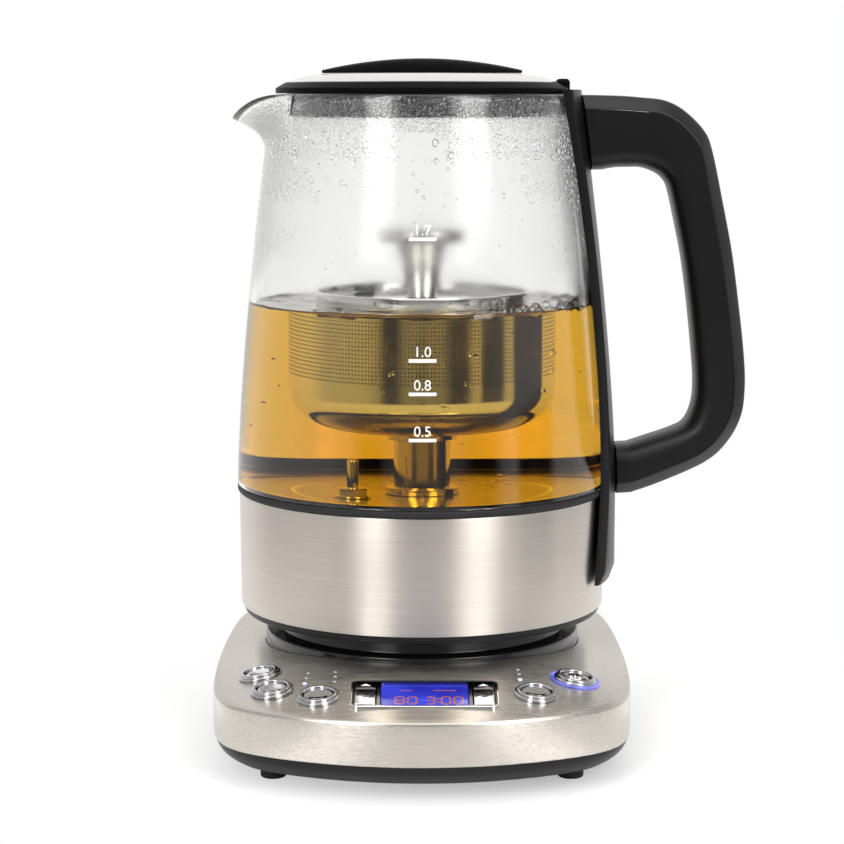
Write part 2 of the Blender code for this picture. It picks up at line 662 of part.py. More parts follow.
def make_feet_and_screws(parent):
    head_top = TRAY_FLOOR_Z - GAP
    profile = [
        (0, 0),
        (FOOT_RADIUS - FOOT_ROUND, 0),
        (FOOT_RADIUS, FOOT_ROUND),
        (FOOT_RADIUS, head_top),
        (0, head_top),
    ]
    lines = {"front": -FOOT_FRONT_SHARE * BASE_FRONT, "back": FOOT_BACK_SHARE * BASE_BACK}
    for line, y in lines.items():
        for side, sign in (("left", -1), ("right", 1)):
            place = Matrix.Translation((sign * FOOT_SIDE_SHARE * BASE_HALF_WIDTH, y, 0))
            foot = turned(profile, MEDIUM_STEPS)
            add_solid(f"foot_{line}_{side}", foot, "black_rubber", parent, place)
    screw = [
        (0, head_top - SCREW_HEAD_HEIGHT),
        (SCREW_HEAD_RADIUS - SCREW_HEAD_HEIGHT / 2, head_top - SCREW_HEAD_HEIGHT),
        (SCREW_HEAD_RADIUS, head_top - SCREW_HEAD_HEIGHT / 2),
        (SCREW_HEAD_RADIUS, head_top),
        (SCREW_RADIUS, head_top),
        (SCREW_RADIUS, screw_tip_z()),
        (0, screw_tip_z()),
    ]
    for number, (x, y) in enumerate(screw_places(), start=1):
        piece = turned(screw, SMALL_STEPS)
        add_solid(f"tray_screw_{number}", piece, "grey_metal", parent, Matrix.Translation((x, y, 0)))


def make_turret(parent):
    """The black turret that carries the kettle, and the round plug that feeds it."""
    wall = TURRET_WALL
    rim_in = TURRET_RIM_RADIUS - TURRET_RIM_WIDTH
    hole = PLUG_FLANGE_RADIUS + GAP
    profile = [
        (TURRET_RADIUS, TURRET_FOOT_Z),
        (TURRET_RADIUS, TURRET_LEDGE_Z - TURRET_CHAMFER),
        (TURRET_RADIUS - TURRET_CHAMFER, TURRET_LEDGE_Z),
        (TURRET_RIM_RADIUS + wall / 2, TURRET_LEDGE_Z),
        (TURRET_RIM_RADIUS, TURRET_TOP_Z - TURRET_CHAMFER),
        (TURRET_RIM_RADIUS - TURRET_CHAMFER, TURRET_TOP_Z),
        (rim_in, TURRET_TOP_Z),
        (rim_in - TURRET_CHAMFER, TURRET_FLOOR_Z),
        (hole, TURRET_FLOOR_Z),
        (hole, TURRET_FLOOR_Z - wall),
        (rim_in, TURRET_FLOOR_Z - wall),
        (rim_in + wall / 2, TURRET_LEDGE_Z - wall),
        (TURRET_RADIUS - wall, TURRET_LEDGE_Z - wall),
        (TURRET_RADIUS - wall, TURRET_FOOT_Z),
    ]
    add_solid("turret_ring", turned(profile, FINE_STEPS), "gloss_black_plastic", parent)
    plug = [
        (PLUG_BORE, TURRET_FOOT_Z),
        (PLUG_FLANGE_RADIUS, TURRET_FOOT_Z),
        (PLUG_FLANGE_RADIUS, TURRET_FLOOR_Z),
        (PLUG_RADIUS, TURRET_FLOOR_Z),
        (PLUG_RADIUS, PLUG_STEP_Z),
        (PLUG_TIP_RADIUS, PLUG_STEP_Z),
        (PLUG_TIP_RADIUS, PLUG_TOP_Z),
        (PLUG_BORE, PLUG_TOP_Z),
    ]
    add_solid("power_plug", turned(plug, MEDIUM_STEPS), "satin_black_plastic", parent)


def make_buttons(parent):
    """Five fixed chrome rings, each round a cap that slides down into it."""
    middle = RING_ROUND * ROUND_MIDDLE_SHARE
    ring = [
        (RING_SKIRT_RADIUS, -RING_SKIRT),
        (RING_SKIRT_RADIUS, GAP),
        (RING_RADIUS, GAP),
        (RING_RADIUS, RING_HEIGHT - RING_ROUND),
        (RING_RADIUS - middle, RING_HEIGHT - middle),
        (RING_RADIUS - RING_ROUND, RING_HEIGHT),
        (RING_BORE + RING_ROUND, RING_HEIGHT),
        (RING_BORE, RING_HEIGHT - RING_ROUND),
        (RING_BORE, -RING_SKIRT),
    ]
    cap_radius = RING_BORE - BUTTON_CLEARANCE
    cap = [
        (0, -CAP_DEPTH),
        (cap_radius, -CAP_DEPTH),
        (cap_radius, CAP_HEIGHT - RING_ROUND / 2),
        (cap_radius - RING_ROUND / 2, CAP_HEIGHT),
        (cap_radius * CAP_DISH_SHARE, CAP_HEIGHT),
        (0, CAP_HEIGHT - CAP_DISH),
    ]
    for name, shares in BUTTON_PLACE_SHARES.items():
        frame = on_cover(*panel_place(shares))
        add_solid(f"{name}_button_ring", turned(ring, MEDIUM_STEPS), "chrome", parent, frame)
        axis = add_empty(f"{name}_button_axis", parent)
        axis.matrix_local = frame
        add_solid(f"{name}_button", turned(cap, MEDIUM_STEPS), "chrome", axis)
    halo_in = RING_RADIUS + GAP
    halo = [
        (halo_in, GAP),
        (halo_in + HALO_WIDTH, GAP),
        (halo_in + HALO_WIDTH, HALO_HEIGHT / 2),
        (halo_in + HALO_WIDTH / 2, HALO_HEIGHT),
        (halo_in, HALO_HEIGHT),
    ]
    frame = on_cover(*panel_place(BUTTON_PLACE_SHARES["power"]))
    add_solid("power_halo", turned(halo, MEDIUM_STEPS), "light_pipe", parent, frame)


def make_indicators(parent):
    """Each column of three light dots is one moulding: pins through the cover on a bar below it."""
    for side, shares in DOT_PLACE_SHARES.items():
        places = [panel_place(place_shares) for place_shares in shares]
        middle_x = sum(x for x, _ in places) / len(places)
        back_y = max(y for _, y in places) + DOT_BAR_HALF
        front_y = min(y for _, y in places) - DOT_BAR_HALF
        half = max(abs(x - middle_x) for x, _ in places) + DOT_BAR_HALF
        bar = rounded_plate(
            2 * half,
            back_y - front_y,
            DOT_BAR_Z - DOT_BAR_THICKNESS,
            DOT_BAR_Z,
            DOT_RADIUS,
            (middle_x, (back_y + front_y) / 2),
        )
        column = add_solid(f"indicator_{side}", bar, "light_pipe", parent)
        for number, (x, y) in enumerate(places):
            pin = cylinder(DOT_RADIUS, DOT_BAR_Z - DOT_BAR_THICKNESS / 2, cover_top(x, y) + DOT_PROUD)
            pin = add_solid(f"dot_pin_{side}_{number}", moved(pin, (x, y, 0)), None, parent)
            combine(column, pin, "UNION")


def make_display(parent):
    """The bezel in the cover's front, the window over the panel, and two keys on each side of it."""
    frame = on_cover(*panel_place(DISPLAY_PLACE_SHARES))
    top = DISPLAY_PROUD
    bezel = rounded_plate(DISPLAY_WIDTH, DISPLAY_DEPTH, top - DISPLAY_HEIGHT, top, DISPLAY_CORNER)
    bezel = add_solid("display_bezel", bezel, "gloss_black_plastic", parent, frame)
    hole_depth = DISPLAY_DEPTH - 2 * BEZEL_WALL
    key_span = (DISPLAY_WIDTH - WINDOW_WIDTH) / 2 - 2 * BEZEL_WALL
    key_x = WINDOW_WIDTH / 2 + BEZEL_WALL + key_span / 2
    holes = {"window": (0, WINDOW_WIDTH), "left": (-key_x, key_span), "right": (key_x, key_span)}
    for name, (x, width) in holes.items():
        low_z = top - DISPLAY_HEIGHT - OVERRUN
        hole = rounded_plate(width, hole_depth, low_z, OVERRUN, BEZEL_WALL, (x, 0))
        combine(bezel, add_solid(f"bezel_{name}_hole", hole, None, parent, frame))
    pane_width = WINDOW_WIDTH - 2 * GAP
    pane_depth = hole_depth - 2 * GAP
    pane_low = top - GAP - WINDOW_THICKNESS
    pane = rounded_plate(pane_width, pane_depth, pane_low, top - GAP, BEZEL_WALL)
    add_solid("display_window", pane, "smoke_plastic", parent, frame)
    panel_top = pane_low - GAP
    panel = rounded_plate(pane_width, pane_depth, panel_top - LCD_THICKNESS, panel_top, BEZEL_WALL)
    add_solid("display_panel", panel, "blue_display", parent, frame)
    key_width = key_span - 2 * GAP
    key_top = top + KEY_PROUD
    up_depth = hole_depth * KEY_UP_SHARE - 2 * GAP
    down_depth = hole_depth * (1 - KEY_UP_SHARE) - 2 * GAP
    up_y = hole_depth / 2 - GAP - up_depth / 2
    down_y = -hole_depth / 2 + GAP + down_depth / 2
    for side, name in ((-1, "temperature"), (1, "time")):
        for way, y, depth in (("up", up_y, up_depth), ("down", down_y, down_depth)):
            key = rounded_plate(key_width, depth, key_top - KEY_HEIGHT, key_top, KEY_ROUND)
            axis = add_empty(f"{name}_{way}_key_axis", parent)
            axis.matrix_local = frame @ Matrix.Translation((side * key_x, y, 0))
            add_solid(f"{name}_{way}_key", key, "chrome", axis)


def make_base_inside(parent):
    """The circuit board under the controls, and the gland that the supply lead comes in by."""
    width = 2 * BOARD_SIDE_SHARE * BASE_HALF_WIDTH
    depth = (BOARD_FRONT_SHARE - BOARD_BACK_SHARE) * BASE_FRONT
    middle_y = -(BOARD_FRONT_SHARE + BOARD_BACK_SHARE) / 2 * BASE_FRONT
    corner = depth * BOARD_CORNER_SHARE
    board = rounded_plate(width, depth, BOARD_Z, BOARD_Z + BOARD_THICKNESS, corner, (0, middle_y))
    add_solid("control_board", board, "green_board", parent)
    flange = GLAND_RADIUS + GLAND_FLANGE
    profile = [
        (GLAND_BORE, GLAND_PROUD - GLAND_LENGTH),
        (GLAND_RADIUS, GLAND_PROUD - GLAND_LENGTH),
        (GLAND_RADIUS, GAP),
        (flange, GAP),
        (flange, GLAND_PROUD - GAP),
        (GLAND_RADIUS, GLAND_PROUD),
        (GLAND_BORE, GLAND_PROUD),
    ]
    gland = turned(profile, MEDIUM_STEPS)
    add_solid("cord_gland", gland, "black_rubber", parent, gland_frame())


# Kettle


def glass_radius(z):
    """The outside of the glass at a height, spout left aside."""
    share = max(0.0, min(1.0, (z - GLASS_FOOT_Z) / (GLASS_TOP_Z - GLASS_FOOT_Z)))
    return mix(GLASS_FOOT_RADIUS, GLASS_MOUTH_RADIUS, share**GLASS_TAPER_POWER)


def with_spout(radius, angle, z):
    """A point of the glass, drawn out and down near the rim into the pouring lip at -X."""
    off = abs(math.remainder(angle - math.pi, math.tau)) / SPOUT_HALF_ANGLE
    rise = max(0.0, (z - GLASS_TOP_Z + SPOUT_HEIGHT) / SPOUT_HEIGHT)
    if off < 1 and rise > 0:
        across = 1 - off**2
        radius += SPOUT_REACH * across**SPOUT_REACH_ACROSS_POWER * rise**SPOUT_REACH_UP_POWER
        z -= SPOUT_DROOP * across**SPOUT_DROOP_ACROSS_POWER * rise**SPOUT_DROOP_UP_POWER
    return Vector((radius * math.cos(angle), radius * math.sin(angle), z))


def make_glass(parent):
    heights = [mix(GLASS_FOOT_Z, GLASS_TOP_Z, share) for share in GLASS_RING_SHARES]
    spout_foot = GLASS_TOP_Z - SPOUT_HEIGHT
    spout = [mix(spout_foot, GLASS_TOP_Z, i / SPOUT_ROWS) for i in range(1, SPOUT_ROWS + 1)]
    heights += spout
    angles = [math.tau * i / FINE_STEPS for i in range(FINE_STEPS)]
    outside = [[with_spout(glass_radius(z), a, z) for a in angles] for z in heights]
    inside = [[with_spout(glass_radius(z) - GLASS_WALL, a, z) for a in angles] for z in heights]
    add_solid("jug_glass", lofted(outside + inside[::-1], "joined"), "clear_glass", parent)


def make_jug_body(parent):
    """Steel band, black seal between it and the glass, plastic underside and heating plate."""
    band = [
        (BAND_FOOT_RADIUS, BAND_FOOT_Z),
        (BAND_TOP_RADIUS, BAND_TOP_Z),
        (BAND_TOP_RADIUS - BAND_WALL, BAND_TOP_Z),
        (BAND_FOOT_RADIUS - BAND_WALL, BAND_FOOT_Z),
    ]
    add_solid("jug_band", turned(band, FINE_STEPS), "brushed_steel", parent)
    upstand_out = GLASS_FOOT_RADIUS - GLASS_WALL - 2 * GAP
    seal = [
        (upstand_out - SEAL_WALL, SEAL_FOOT_Z),
        (GLASS_FOOT_RADIUS, SEAL_FOOT_Z),
        (GLASS_FOOT_RADIUS, SEAL_TOP_Z),
        (upstand_out, SEAL_TOP_Z),
        (upstand_out, SEAL_UPSTAND_Z),
        (upstand_out - SEAL_WALL, SEAL_UPSTAND_Z),
    ]
    add_solid("jug_seal_ring", turned(seal, FINE_STEPS), "black_rubber", parent)
    plate_low = PLATE_TOP_Z - PLATE_THICKNESS
    plate = [
        (PLATE_BORE, plate_low),
        (PLATE_RADIUS, plate_low),
        (PLATE_RADIUS, PLATE_TOP_Z),
        (PLATE_BORE, PLATE_TOP_Z),
    ]
    add_solid("heating_plate", turned(plate, FINE_STEPS), "brushed_steel", parent)
    lip_in = TURRET_RIM_RADIUS + UNDER_LIP_CLEARANCE
    under_top = UNDER_FACE_Z + UNDER_THICKNESS
    hole = SOCKET_RADIUS + GAP
    under = [(hole, UNDER_FACE_Z), (lip_in, UNDER_FACE_Z), (lip_in, UNDER_LIP_Z)]
    under += arc(UNDER_RADIUS - UNDER_ROUND, UNDER_LIP_Z + UNDER_ROUND, UNDER_ROUND, -90, 0, CORNER_STEPS)
    under += [
        (UNDER_RADIUS, UNDER_UPSTAND_Z),
        (UNDER_RADIUS - UNDER_WALL, UNDER_UPSTAND_Z),
        (UNDER_RADIUS - UNDER_WALL, under_top),
        (hole, under_top),
    ]
    add_solid("jug_underside", turned(under, FINE_STEPS), "satin_black_plastic", parent)


def make_heater(parent):
    """An almost closed loop of tube hung just under the plate."""
    middle_z = PLATE_TOP_Z - PLATE_THICKNESS - GAP - HEATER_TUBE
    start = (math.tau - HEATER_SWEEP) / 2 - math.pi / 2
    rings = []
    for i in range(HEATER_STEPS + 1):
        along = start + HEATER_SWEEP * i / HEATER_STEPS
        ring = []
        for j in range(HEATER_SIDES):
            round_tube = math.tau * j / HEATER_SIDES
            reach = HEATER_RADIUS + HEATER_TUBE * math.cos(round_tube)
            height = middle_z + HEATER_TUBE * math.sin(round_tube)
            ring.append((reach * math.cos(along), reach * math.sin(along), height))
        rings.append(ring)
    add_solid("heating_element", lofted(rings), "grey_metal", parent)


def make_post_and_lift(jug, carrier_axis, screw_axis):
    """The hollow post on the plate, and the motor, screw and magnet carrier that work inside it."""
    foot = PLATE_TOP_Z + GAP
    bore = POST_RADIUS - POST_WALL
    post = [
        (0, POST_TOP_Z - POST_WALL),
        (bore, POST_TOP_Z - POST_WALL),
        (bore, foot),
        (POST_RADIUS + POST_FLANGE_WIDTH, foot),
        (POST_RADIUS + POST_FLANGE_WIDTH, foot + POST_FLANGE),
        (POST_RADIUS, foot + POST_FLANGE),
        (POST_RADIUS, POST_TOP_Z - POST_WALL / 2),
        (POST_RADIUS - POST_WALL / 2, POST_TOP_Z),
        (0, POST_TOP_Z),
    ]
    add_solid("centre_post", turned(post, MEDIUM_STEPS), "polished_steel", jug)
    probe = [
        (0, foot),
        (PROBE_NUT_RADIUS, foot),
        (PROBE_NUT_RADIUS, foot + PROBE_NUT_HEIGHT),
        (PROBE_RADIUS, foot + PROBE_NUT_HEIGHT),
        (PROBE_RADIUS, foot + PROBE_HEIGHT),
        (0, foot + PROBE_HEIGHT + PROBE_RADIUS / 2),
    ]
    place = Matrix.Rotation(PROBE_ANGLE, 4, "Z") @ Matrix.Translation((PROBE_REACH, 0, 0))
    add_solid("temperature_probe", turned(probe, SMALL_STEPS), "polished_steel", jug, place)
    motor = cylinder(MOTOR_RADIUS, MOTOR_TOP_Z - MOTOR_HEIGHT, MOTOR_TOP_Z, MEDIUM_STEPS)
    add_solid("lift_motor", motor, "grey_metal", jug)
    screw_top = POST_TOP_Z - POST_WALL - 2 * GAP
    screw = cylinder(LIFT_SCREW_RADIUS, MOTOR_TOP_Z + GAP, screw_top, SMALL_STEPS)
    add_solid("lift_screw", screw, "polished_steel", screw_axis)
    carrier = [
        (LIFT_SCREW_RADIUS + GAP, CARRIER_FOOT_Z),
        (bore - GAP, CARRIER_FOOT_Z),
        (bore - GAP, CARRIER_FOOT_Z + CARRIER_HEIGHT),
        (LIFT_SCREW_RADIUS + GAP, CARRIER_FOOT_Z + CARRIER_HEIGHT),
    ]
    add_solid("magnet_carrier", turned(carrier, MEDIUM_STEPS), "grey_metal", carrier_axis)


def make_socket(parent):
    """The ring connector under the kettle. It fits the base's plug at any angle."""
    foot = UNDER_FACE_Z
    flange_low = UNDER_FACE_Z + UNDER_THICKNESS + GAP
    socket = [
        (0, SOCKET_TOP_Z - SOCKET_WALL),
        (SOCKET_BORE, SOCKET_TOP_Z - SOCKET_WALL),
        (SOCKET_BORE, foot),
        (SOCKET_RADIUS, foot),
        (SOCKET_RADIUS, flange_low),
        (SOCKET_RADIUS + SOCKET_FLANGE_WIDTH, flange_low),
        (SOCKET_RADIUS + SOCKET_FLANGE_WIDTH, flange_low + SOCKET_FLANGE),
        (SOCKET_RADIUS, flange_low + SOCKET_FLANGE),
        (SOCKET_RADIUS, SOCKET_TOP_Z),
        (0, SOCKET_TOP_Z),
    ]
    add_solid("jug_socket", turned(socket, MEDIUM_STEPS), "satin_black_plastic", parent)


def strap_inner(z):
    return glass_radius(z) + STRAP_CLEARANCE


def strap_half_width(z):
    share = (z - STRAP_FOOT_Z) / (STRAP_TOP_Z - STRAP_FOOT_Z)
    if share < STRAP_WAIST_SHARE:
        return mix(STRAP_WAIST_HALF, STRAP_FOOT_HALF, (1 - share / STRAP_WAIST_SHARE) ** 2)
    rest = (share - STRAP_WAIST_SHARE) / (1 - STRAP_WAIST_SHARE)
    return mix(STRAP_WAIST_HALF, STRAP_TOP_HALF, rest**2)


def strap_outer(z):
    """The strap's back face, thinned to a tip at its foot."""
    share = min(1.0, (z - STRAP_FOOT_Z) / STRAP_CHAMFER)
    return strap_inner(z) + STRAP_THICKNESS * mix(STRAP_TIP_SHARE, 1, share)


def make_strap(parent):
    chamfer_z = STRAP_FOOT_Z + STRAP_CHAMFER
    heights = [STRAP_FOOT_Z]
    heights += [mix(chamfer_z, STRAP_TOP_Z, i / (STRAP_ROWS - 1)) for i in range(STRAP_ROWS)]
    rings = []
    for z in heights:
        ring = []
        for reach, order in ((strap_outer(z), 1), (strap_inner(z), -1)):
            half_angle = math.asin(strap_half_width(z) / reach)
            for i in range(STRAP_COLUMNS)[::order]:
                angle = mix(-half_angle, half_angle, i / (STRAP_COLUMNS - 1))
                ring.append((reach * math.cos(angle), reach * math.sin(angle), z))
        rings.append(ring)
    add_solid("handle_strap", lofted(rings), "satin_black_plastic", parent)


def handle_lines():
    """(outer, inner) points of the grip in its upright plane, from the top root to the bottom root."""
    height = HANDLE_TOP_Z - HANDLE_FOOT_Z
    lines = []
    for out_x, out_z, in_x, in_z in HANDLE_LINE_SHARES:
        outer = Vector((out_x * HANDLE_REACH, 0, HANDLE_FOOT_Z + out_z * height))
        inner = Vector((in_x * HANDLE_REACH, 0, HANDLE_FOOT_Z + in_z * height))
        lines.append((outer, inner))
    return lines


def handle_ring(outer, inner, section, on_strap):
    """One cross-section of the grip: (depth from the outer line, half-width) pairs, both sides."""
    inward = (inner - outer).normalized()
    ring = []
    for side, order in ((1, 1), (-1, -1)):
        for depth, half in section[::order]:
            point = outer + inward * depth + Vector((0, side * half, 0))
            if on_strap:
                point.x = strap_outer(point.z) + GAP
            ring.append(point)
    return ring


def make_handle(parent):
    """The grip in two mouldings: the chamfered outer cover and the rounded core that fingers hold."""
    lines = handle_lines()
    belly_depth_share, belly_width_share = HANDLE_BELLY_ROUND_SHARES
    belly_round_half = mix(HANDLE_HALF_WIDTH, HANDLE_BELLY_HALF, belly_width_share)
    cover_rings = []
    core_rings = []
    for number, (outer, inner) in enumerate(lines):
        depth = (inner - outer).length
        on_strap = number in (0, len(lines) - 1)
        cover = [(0, HANDLE_SPINE_HALF), (HANDLE_COVER_DEPTH, HANDLE_HALF_WIDTH)]
        core = [
            (HANDLE_COVER_DEPTH + GAP, HANDLE_HALF_WIDTH),
            (depth - HANDLE_BELLY_DEPTH, HANDLE_HALF_WIDTH),
            (depth - HANDLE_BELLY_DEPTH * (1 - belly_depth_share), belly_round_half),
            (depth, HANDLE_BELLY_HALF),
        ]
        cover_rings.append(handle_ring(outer, inner, cover, on_strap))
        core_rings.append(handle_ring(outer, inner, core, on_strap))
    add_solid("handle_cover", lofted(cover_rings), "satin_black_plastic", parent)
    add_solid("handle_core", lofted(core_rings), "satin_black_plastic", parent)


# Lid


def make_lid(parent):
    plug_radius = LID_RIM_BORE - GAP
    rim = [
        (LID_RIM_BORE, LID_SEAT_Z),
        (LID_RADIUS - GAP, LID_SEAT_Z),
        (LID_RADIUS, LID_SEAT_Z + GAP),
        (LID_RADIUS, LID_SEAT_Z + LID_RIM_EDGE_HEIGHT),
        (LID_RIM_BORE + GAP, LID_RIM_TOP_Z),
        (LID_RIM_BORE, LID_RIM_TOP_Z),
    ]
    rim = add_solid("lid_rim", turned(rim, FINE_STEPS), "satin_black_plastic", parent)
    tab_low = LID_SEAT_Z + GAP
    tab_x = LID_RADIUS + LID_TAB_PROUD - LID_TAB_LENGTH / 2
    tab = rounded_plate(LID_TAB_LENGTH, LID_TAB_WIDTH, tab_low, tab_low + LID_TAB_HEIGHT, GAP, (tab_x, 0))
    combine(rim, add_solid("lid_tab", tab, None, parent), "UNION")
    wall = LID_PLATE_WALL
    dish_r = LID_DISH_RADIUS
    floor_r = LID_DISH_RADIUS - LID_DISH_SLOPE
    lip_r = LID_DISH_RADIUS + LID_DISH_LIP
    slope_r = mix(plug_radius, dish_r, LID_CROWN_REACH_SHARE)
    slope_z = mix(LID_PLATE_EDGE_Z, LID_PLATE_TOP_Z, LID_CROWN_RISE_SHARE)
    plate = [
        (0, LID_DISH_Z),
        (floor_r, LID_DISH_Z),
        (dish_r, LID_PLATE_TOP_Z - wall),
        (lip_r, LID_PLATE_TOP_Z),
        (slope_r, slope_z),
        (plug_radius, LID_PLATE_EDGE_Z),
        (plug_radius, LID_PLATE_EDGE_Z - wall),
        (slope_r, slope_z - wall),
        (lip_r - wall / 2, LID_PLATE_TOP_Z - 2 * wall),
        (floor_r + wall / 2, LID_DISH_Z - wall),
        (0, LID_DISH_Z - wall),
    ]
    add_solid("lid_plate", turned(plate, FINE_STEPS), "polished_steel", parent)
    plug_top = LID_PLATE_EDGE_Z - wall - GAP
    inner = plug_radius - LID_PLUG_WALL
    plug = [
        (0, LID_PLUG_FOOT_Z),
        (plug_radius, LID_PLUG_FOOT_Z),
        (plug_radius, plug_top),
        (inner, plug_top),
        (inner, LID_PLUG_FOOT_Z + LID_PLUG_WALL),
        (0, LID_PLUG_FOOT_Z + LID_PLUG_WALL),
    ]
    plug = add_solid("lid_plug", turned(plug, FINE_STEPS), "gloss_black_plastic", parent)
    window_x = plug_radius * math.cos(SPOUT_HALF_ANGLE)
    length = plug_radius - window_x + OVERRUN
    window_width = 2 * plug_radius * math.sin(SPOUT_HALF_ANGLE)
    middle_x = -(window_x + length / 2)
    window_top = LID_WINDOW_FOOT_Z + LID_WINDOW_HEIGHT
    window = rounded_plate(length, window_width, LID_WINDOW_FOOT_Z, window_top, GAP, (middle_x, 0))
    combine(plug, add_solid("pour_window", window, None, parent))
    gasket_top = LID_SEAT_Z - GAP
    gasket_out = glass_radius(gasket_top) - GLASS_WALL - GAP
    gasket_low = gasket_top - LID_GASKET_HEIGHT
    gasket = [
        (LID_RIM_BORE, gasket_low),
        (gasket_out, gasket_low + LID_GASKET_HEIGHT / 3),
        (gasket_out, gasket_top),
        (LID_RIM_BORE, gasket_top),
    ]
    add_solid("lid_gasket", turned(gasket, FINE_STEPS), "clear_silicone", parent)
    make_lid_grip(parent)


def make_lid_grip(parent):
    """A low arched bar across the dish, flat below, thickest in the middle."""
    low_z = LID_PLATE_TOP_Z + GAP
    end_top = low_z + GRIP_END_THICKNESS
    rings = []
    for i in range(GRIP_STEPS + 1):
        share = mix(-1, 1, i / GRIP_STEPS)
        x = GRIP_HALF_LENGTH * share
        top_z = mix(LID_PLATE_TOP_Z + GRIP_RISE, end_top, share**2)
        half = GRIP_HALF_WIDTH * mix(1, GRIP_END_WIDTH_SHARE, share**2)
        crown_half = half * GRIP_CROWN_SHARE
        shoulder = mix(low_z, top_z, GRIP_SHOULDER_SHARE)
        rings.append(
            [
                (x, -half, low_z),
                (x, half, low_z),
                (x, half, shoulder),
                (x, crown_half, top_z),
                (x, -crown_half, top_z),
                (x, -half, shoulder),
            ]
        )
    add_solid("lid_grip", lofted(rings), "satin_black_plastic", parent)


# Infuser basket


def make_basket(parent, lid_parent):
    """The strainer with its sleeve over the post, and its own lid with the lifting knob."""
    wall = BASKET_WALL
    corner_r = BASKET_RADIUS - BASKET_CORNER
    corner_z = BASKET_FLOOR_Z + BASKET_CORNER
    hole = SLEEVE_RADIUS + GAP
    outside = [(hole, BASKET_FLOOR_Z)]
    outside += arc(corner_r, corner_z, BASKET_CORNER, -90, 0, BASKET_CORNER_STEPS)
    outside += [
        (BASKET_RADIUS, BASKET_RIM_Z - wall),
        (BASKET_RADIUS + BASKET_RIM_WIDTH, BASKET_RIM_Z - wall),
        (BASKET_RADIUS + BASKET_RIM_WIDTH, BASKET_RIM_Z),
    ]
    inside = [(BASKET_RADIUS - wall, BASKET_RIM_Z)]
    inside += arc(corner_r, corner_z, BASKET_CORNER - wall, 0, -90, BASKET_CORNER_STEPS)
    inside += [(hole, BASKET_FLOOR_Z + wall)]
    add_solid("basket_body", turned(outside + inside, FINE_STEPS), "polished_steel", parent)
    sleeve_top = BASKET_LID_Z - BASKET_LID_THICKNESS - GAP
    sleeve = [
        (SLEEVE_BORE, SLEEVE_FOOT_Z),
        (SLEEVE_RADIUS, SLEEVE_FOOT_Z),
        (SLEEVE_RADIUS, sleeve_top),
        (SLEEVE_BORE, sleeve_top),
    ]
    add_solid("basket_sleeve", turned(sleeve, MEDIUM_STEPS), "polished_steel", parent)
    lid_radius = BASKET_RADIUS - wall - GAP
    lid = cylinder(lid_radius, BASKET_LID_Z - BASKET_LID_THICKNESS, BASKET_LID_Z, FINE_STEPS)
    add_solid("basket_lid", lid, "polished_steel", lid_parent)
    flange_z = KNOB_TOP_Z - KNOB_THICKNESS
    stem = [
        (0, BASKET_LID_Z + GAP),
        (KNOB_NECK_RADIUS, BASKET_LID_Z + GAP),
        (KNOB_SHOULDER_RADIUS, flange_z),
        (KNOB_RADIUS - KNOB_ROUND, flange_z),
    ]
    stem += arc(KNOB_RADIUS - KNOB_ROUND, flange_z + KNOB_ROUND, KNOB_ROUND, -45, 0, 1)
    stem += arc(KNOB_RADIUS - KNOB_ROUND, KNOB_TOP_Z - KNOB_ROUND, KNOB_ROUND, 0, 90, 2)
    stem += [(0, KNOB_TOP_Z)]
    add_solid("basket_knob", turned(stem, MEDIUM_STEPS), "polished_steel", lid_parent)


def build():
    clear_scene()
    root = add_empty("tea_maker", location=AXIS_SHIFT)
    base = add_empty("base", root)
    socket_axis = add_empty("socket_axis", root)
    jug_axis = add_empty("jug_axis", socket_axis)
    lid_axis = add_empty("lid_axis", jug_axis)
    basket_axis = add_empty("basket_axis", jug_axis)
    basket_lid_axis = add_empty("basket_lid_axis", basket_axis)
    carrier_axis = add_empty("carrier_axis", jug_axis)
    screw_axis = add_empty("lift_screw_axis", jug_axis)
    make_base_cover(base)
    make_base_tray(base)
    make_feet_and_screws(base)
    make_turret(base)
    make_buttons(base)
    make_indicators(base)
    make_display(base)
    make_base_inside(base)
    make_socket(socket_axis)
    make_jug_body(jug_axis)
    make_glass(jug_axis)
    make_heater(jug_axis)
    make_post_and_lift(jug_axis, carrier_axis, screw_axis)
    make_strap(jug_axis)
    make_handle(jug_axis)
    make_lid(lid_axis)
    make_basket(basket_axis, basket_lid_axis)


build()
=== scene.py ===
"""Dressed model and studio for the automatic tea maker.

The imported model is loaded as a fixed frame. Most pieces are drawn round the kettle's upright axis,
as on a lathe, and then stand at AXIS. All lengths are in metres.
"""

import math
import random

import bmesh
import bpy
from mathutils import Matrix, Vector


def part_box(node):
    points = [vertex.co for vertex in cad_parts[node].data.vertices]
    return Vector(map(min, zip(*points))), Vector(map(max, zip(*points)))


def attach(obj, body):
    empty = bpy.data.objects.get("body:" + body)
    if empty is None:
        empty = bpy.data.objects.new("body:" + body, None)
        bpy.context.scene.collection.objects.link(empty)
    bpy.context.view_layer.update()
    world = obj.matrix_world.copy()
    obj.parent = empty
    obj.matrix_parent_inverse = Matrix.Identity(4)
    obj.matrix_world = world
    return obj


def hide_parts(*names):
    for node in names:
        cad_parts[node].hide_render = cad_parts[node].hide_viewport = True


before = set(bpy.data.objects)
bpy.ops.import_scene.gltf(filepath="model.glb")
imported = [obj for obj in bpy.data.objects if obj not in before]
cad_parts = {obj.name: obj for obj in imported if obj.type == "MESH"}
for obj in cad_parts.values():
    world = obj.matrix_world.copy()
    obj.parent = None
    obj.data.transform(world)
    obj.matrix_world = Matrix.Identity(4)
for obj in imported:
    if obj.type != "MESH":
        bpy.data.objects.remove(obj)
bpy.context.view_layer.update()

MM = 0.001
GAP = 0.3 * MM
MERGE = 0.002 * MM
OVERLAP = 0.06 * MM
OVERRUN = 4.0 * MM
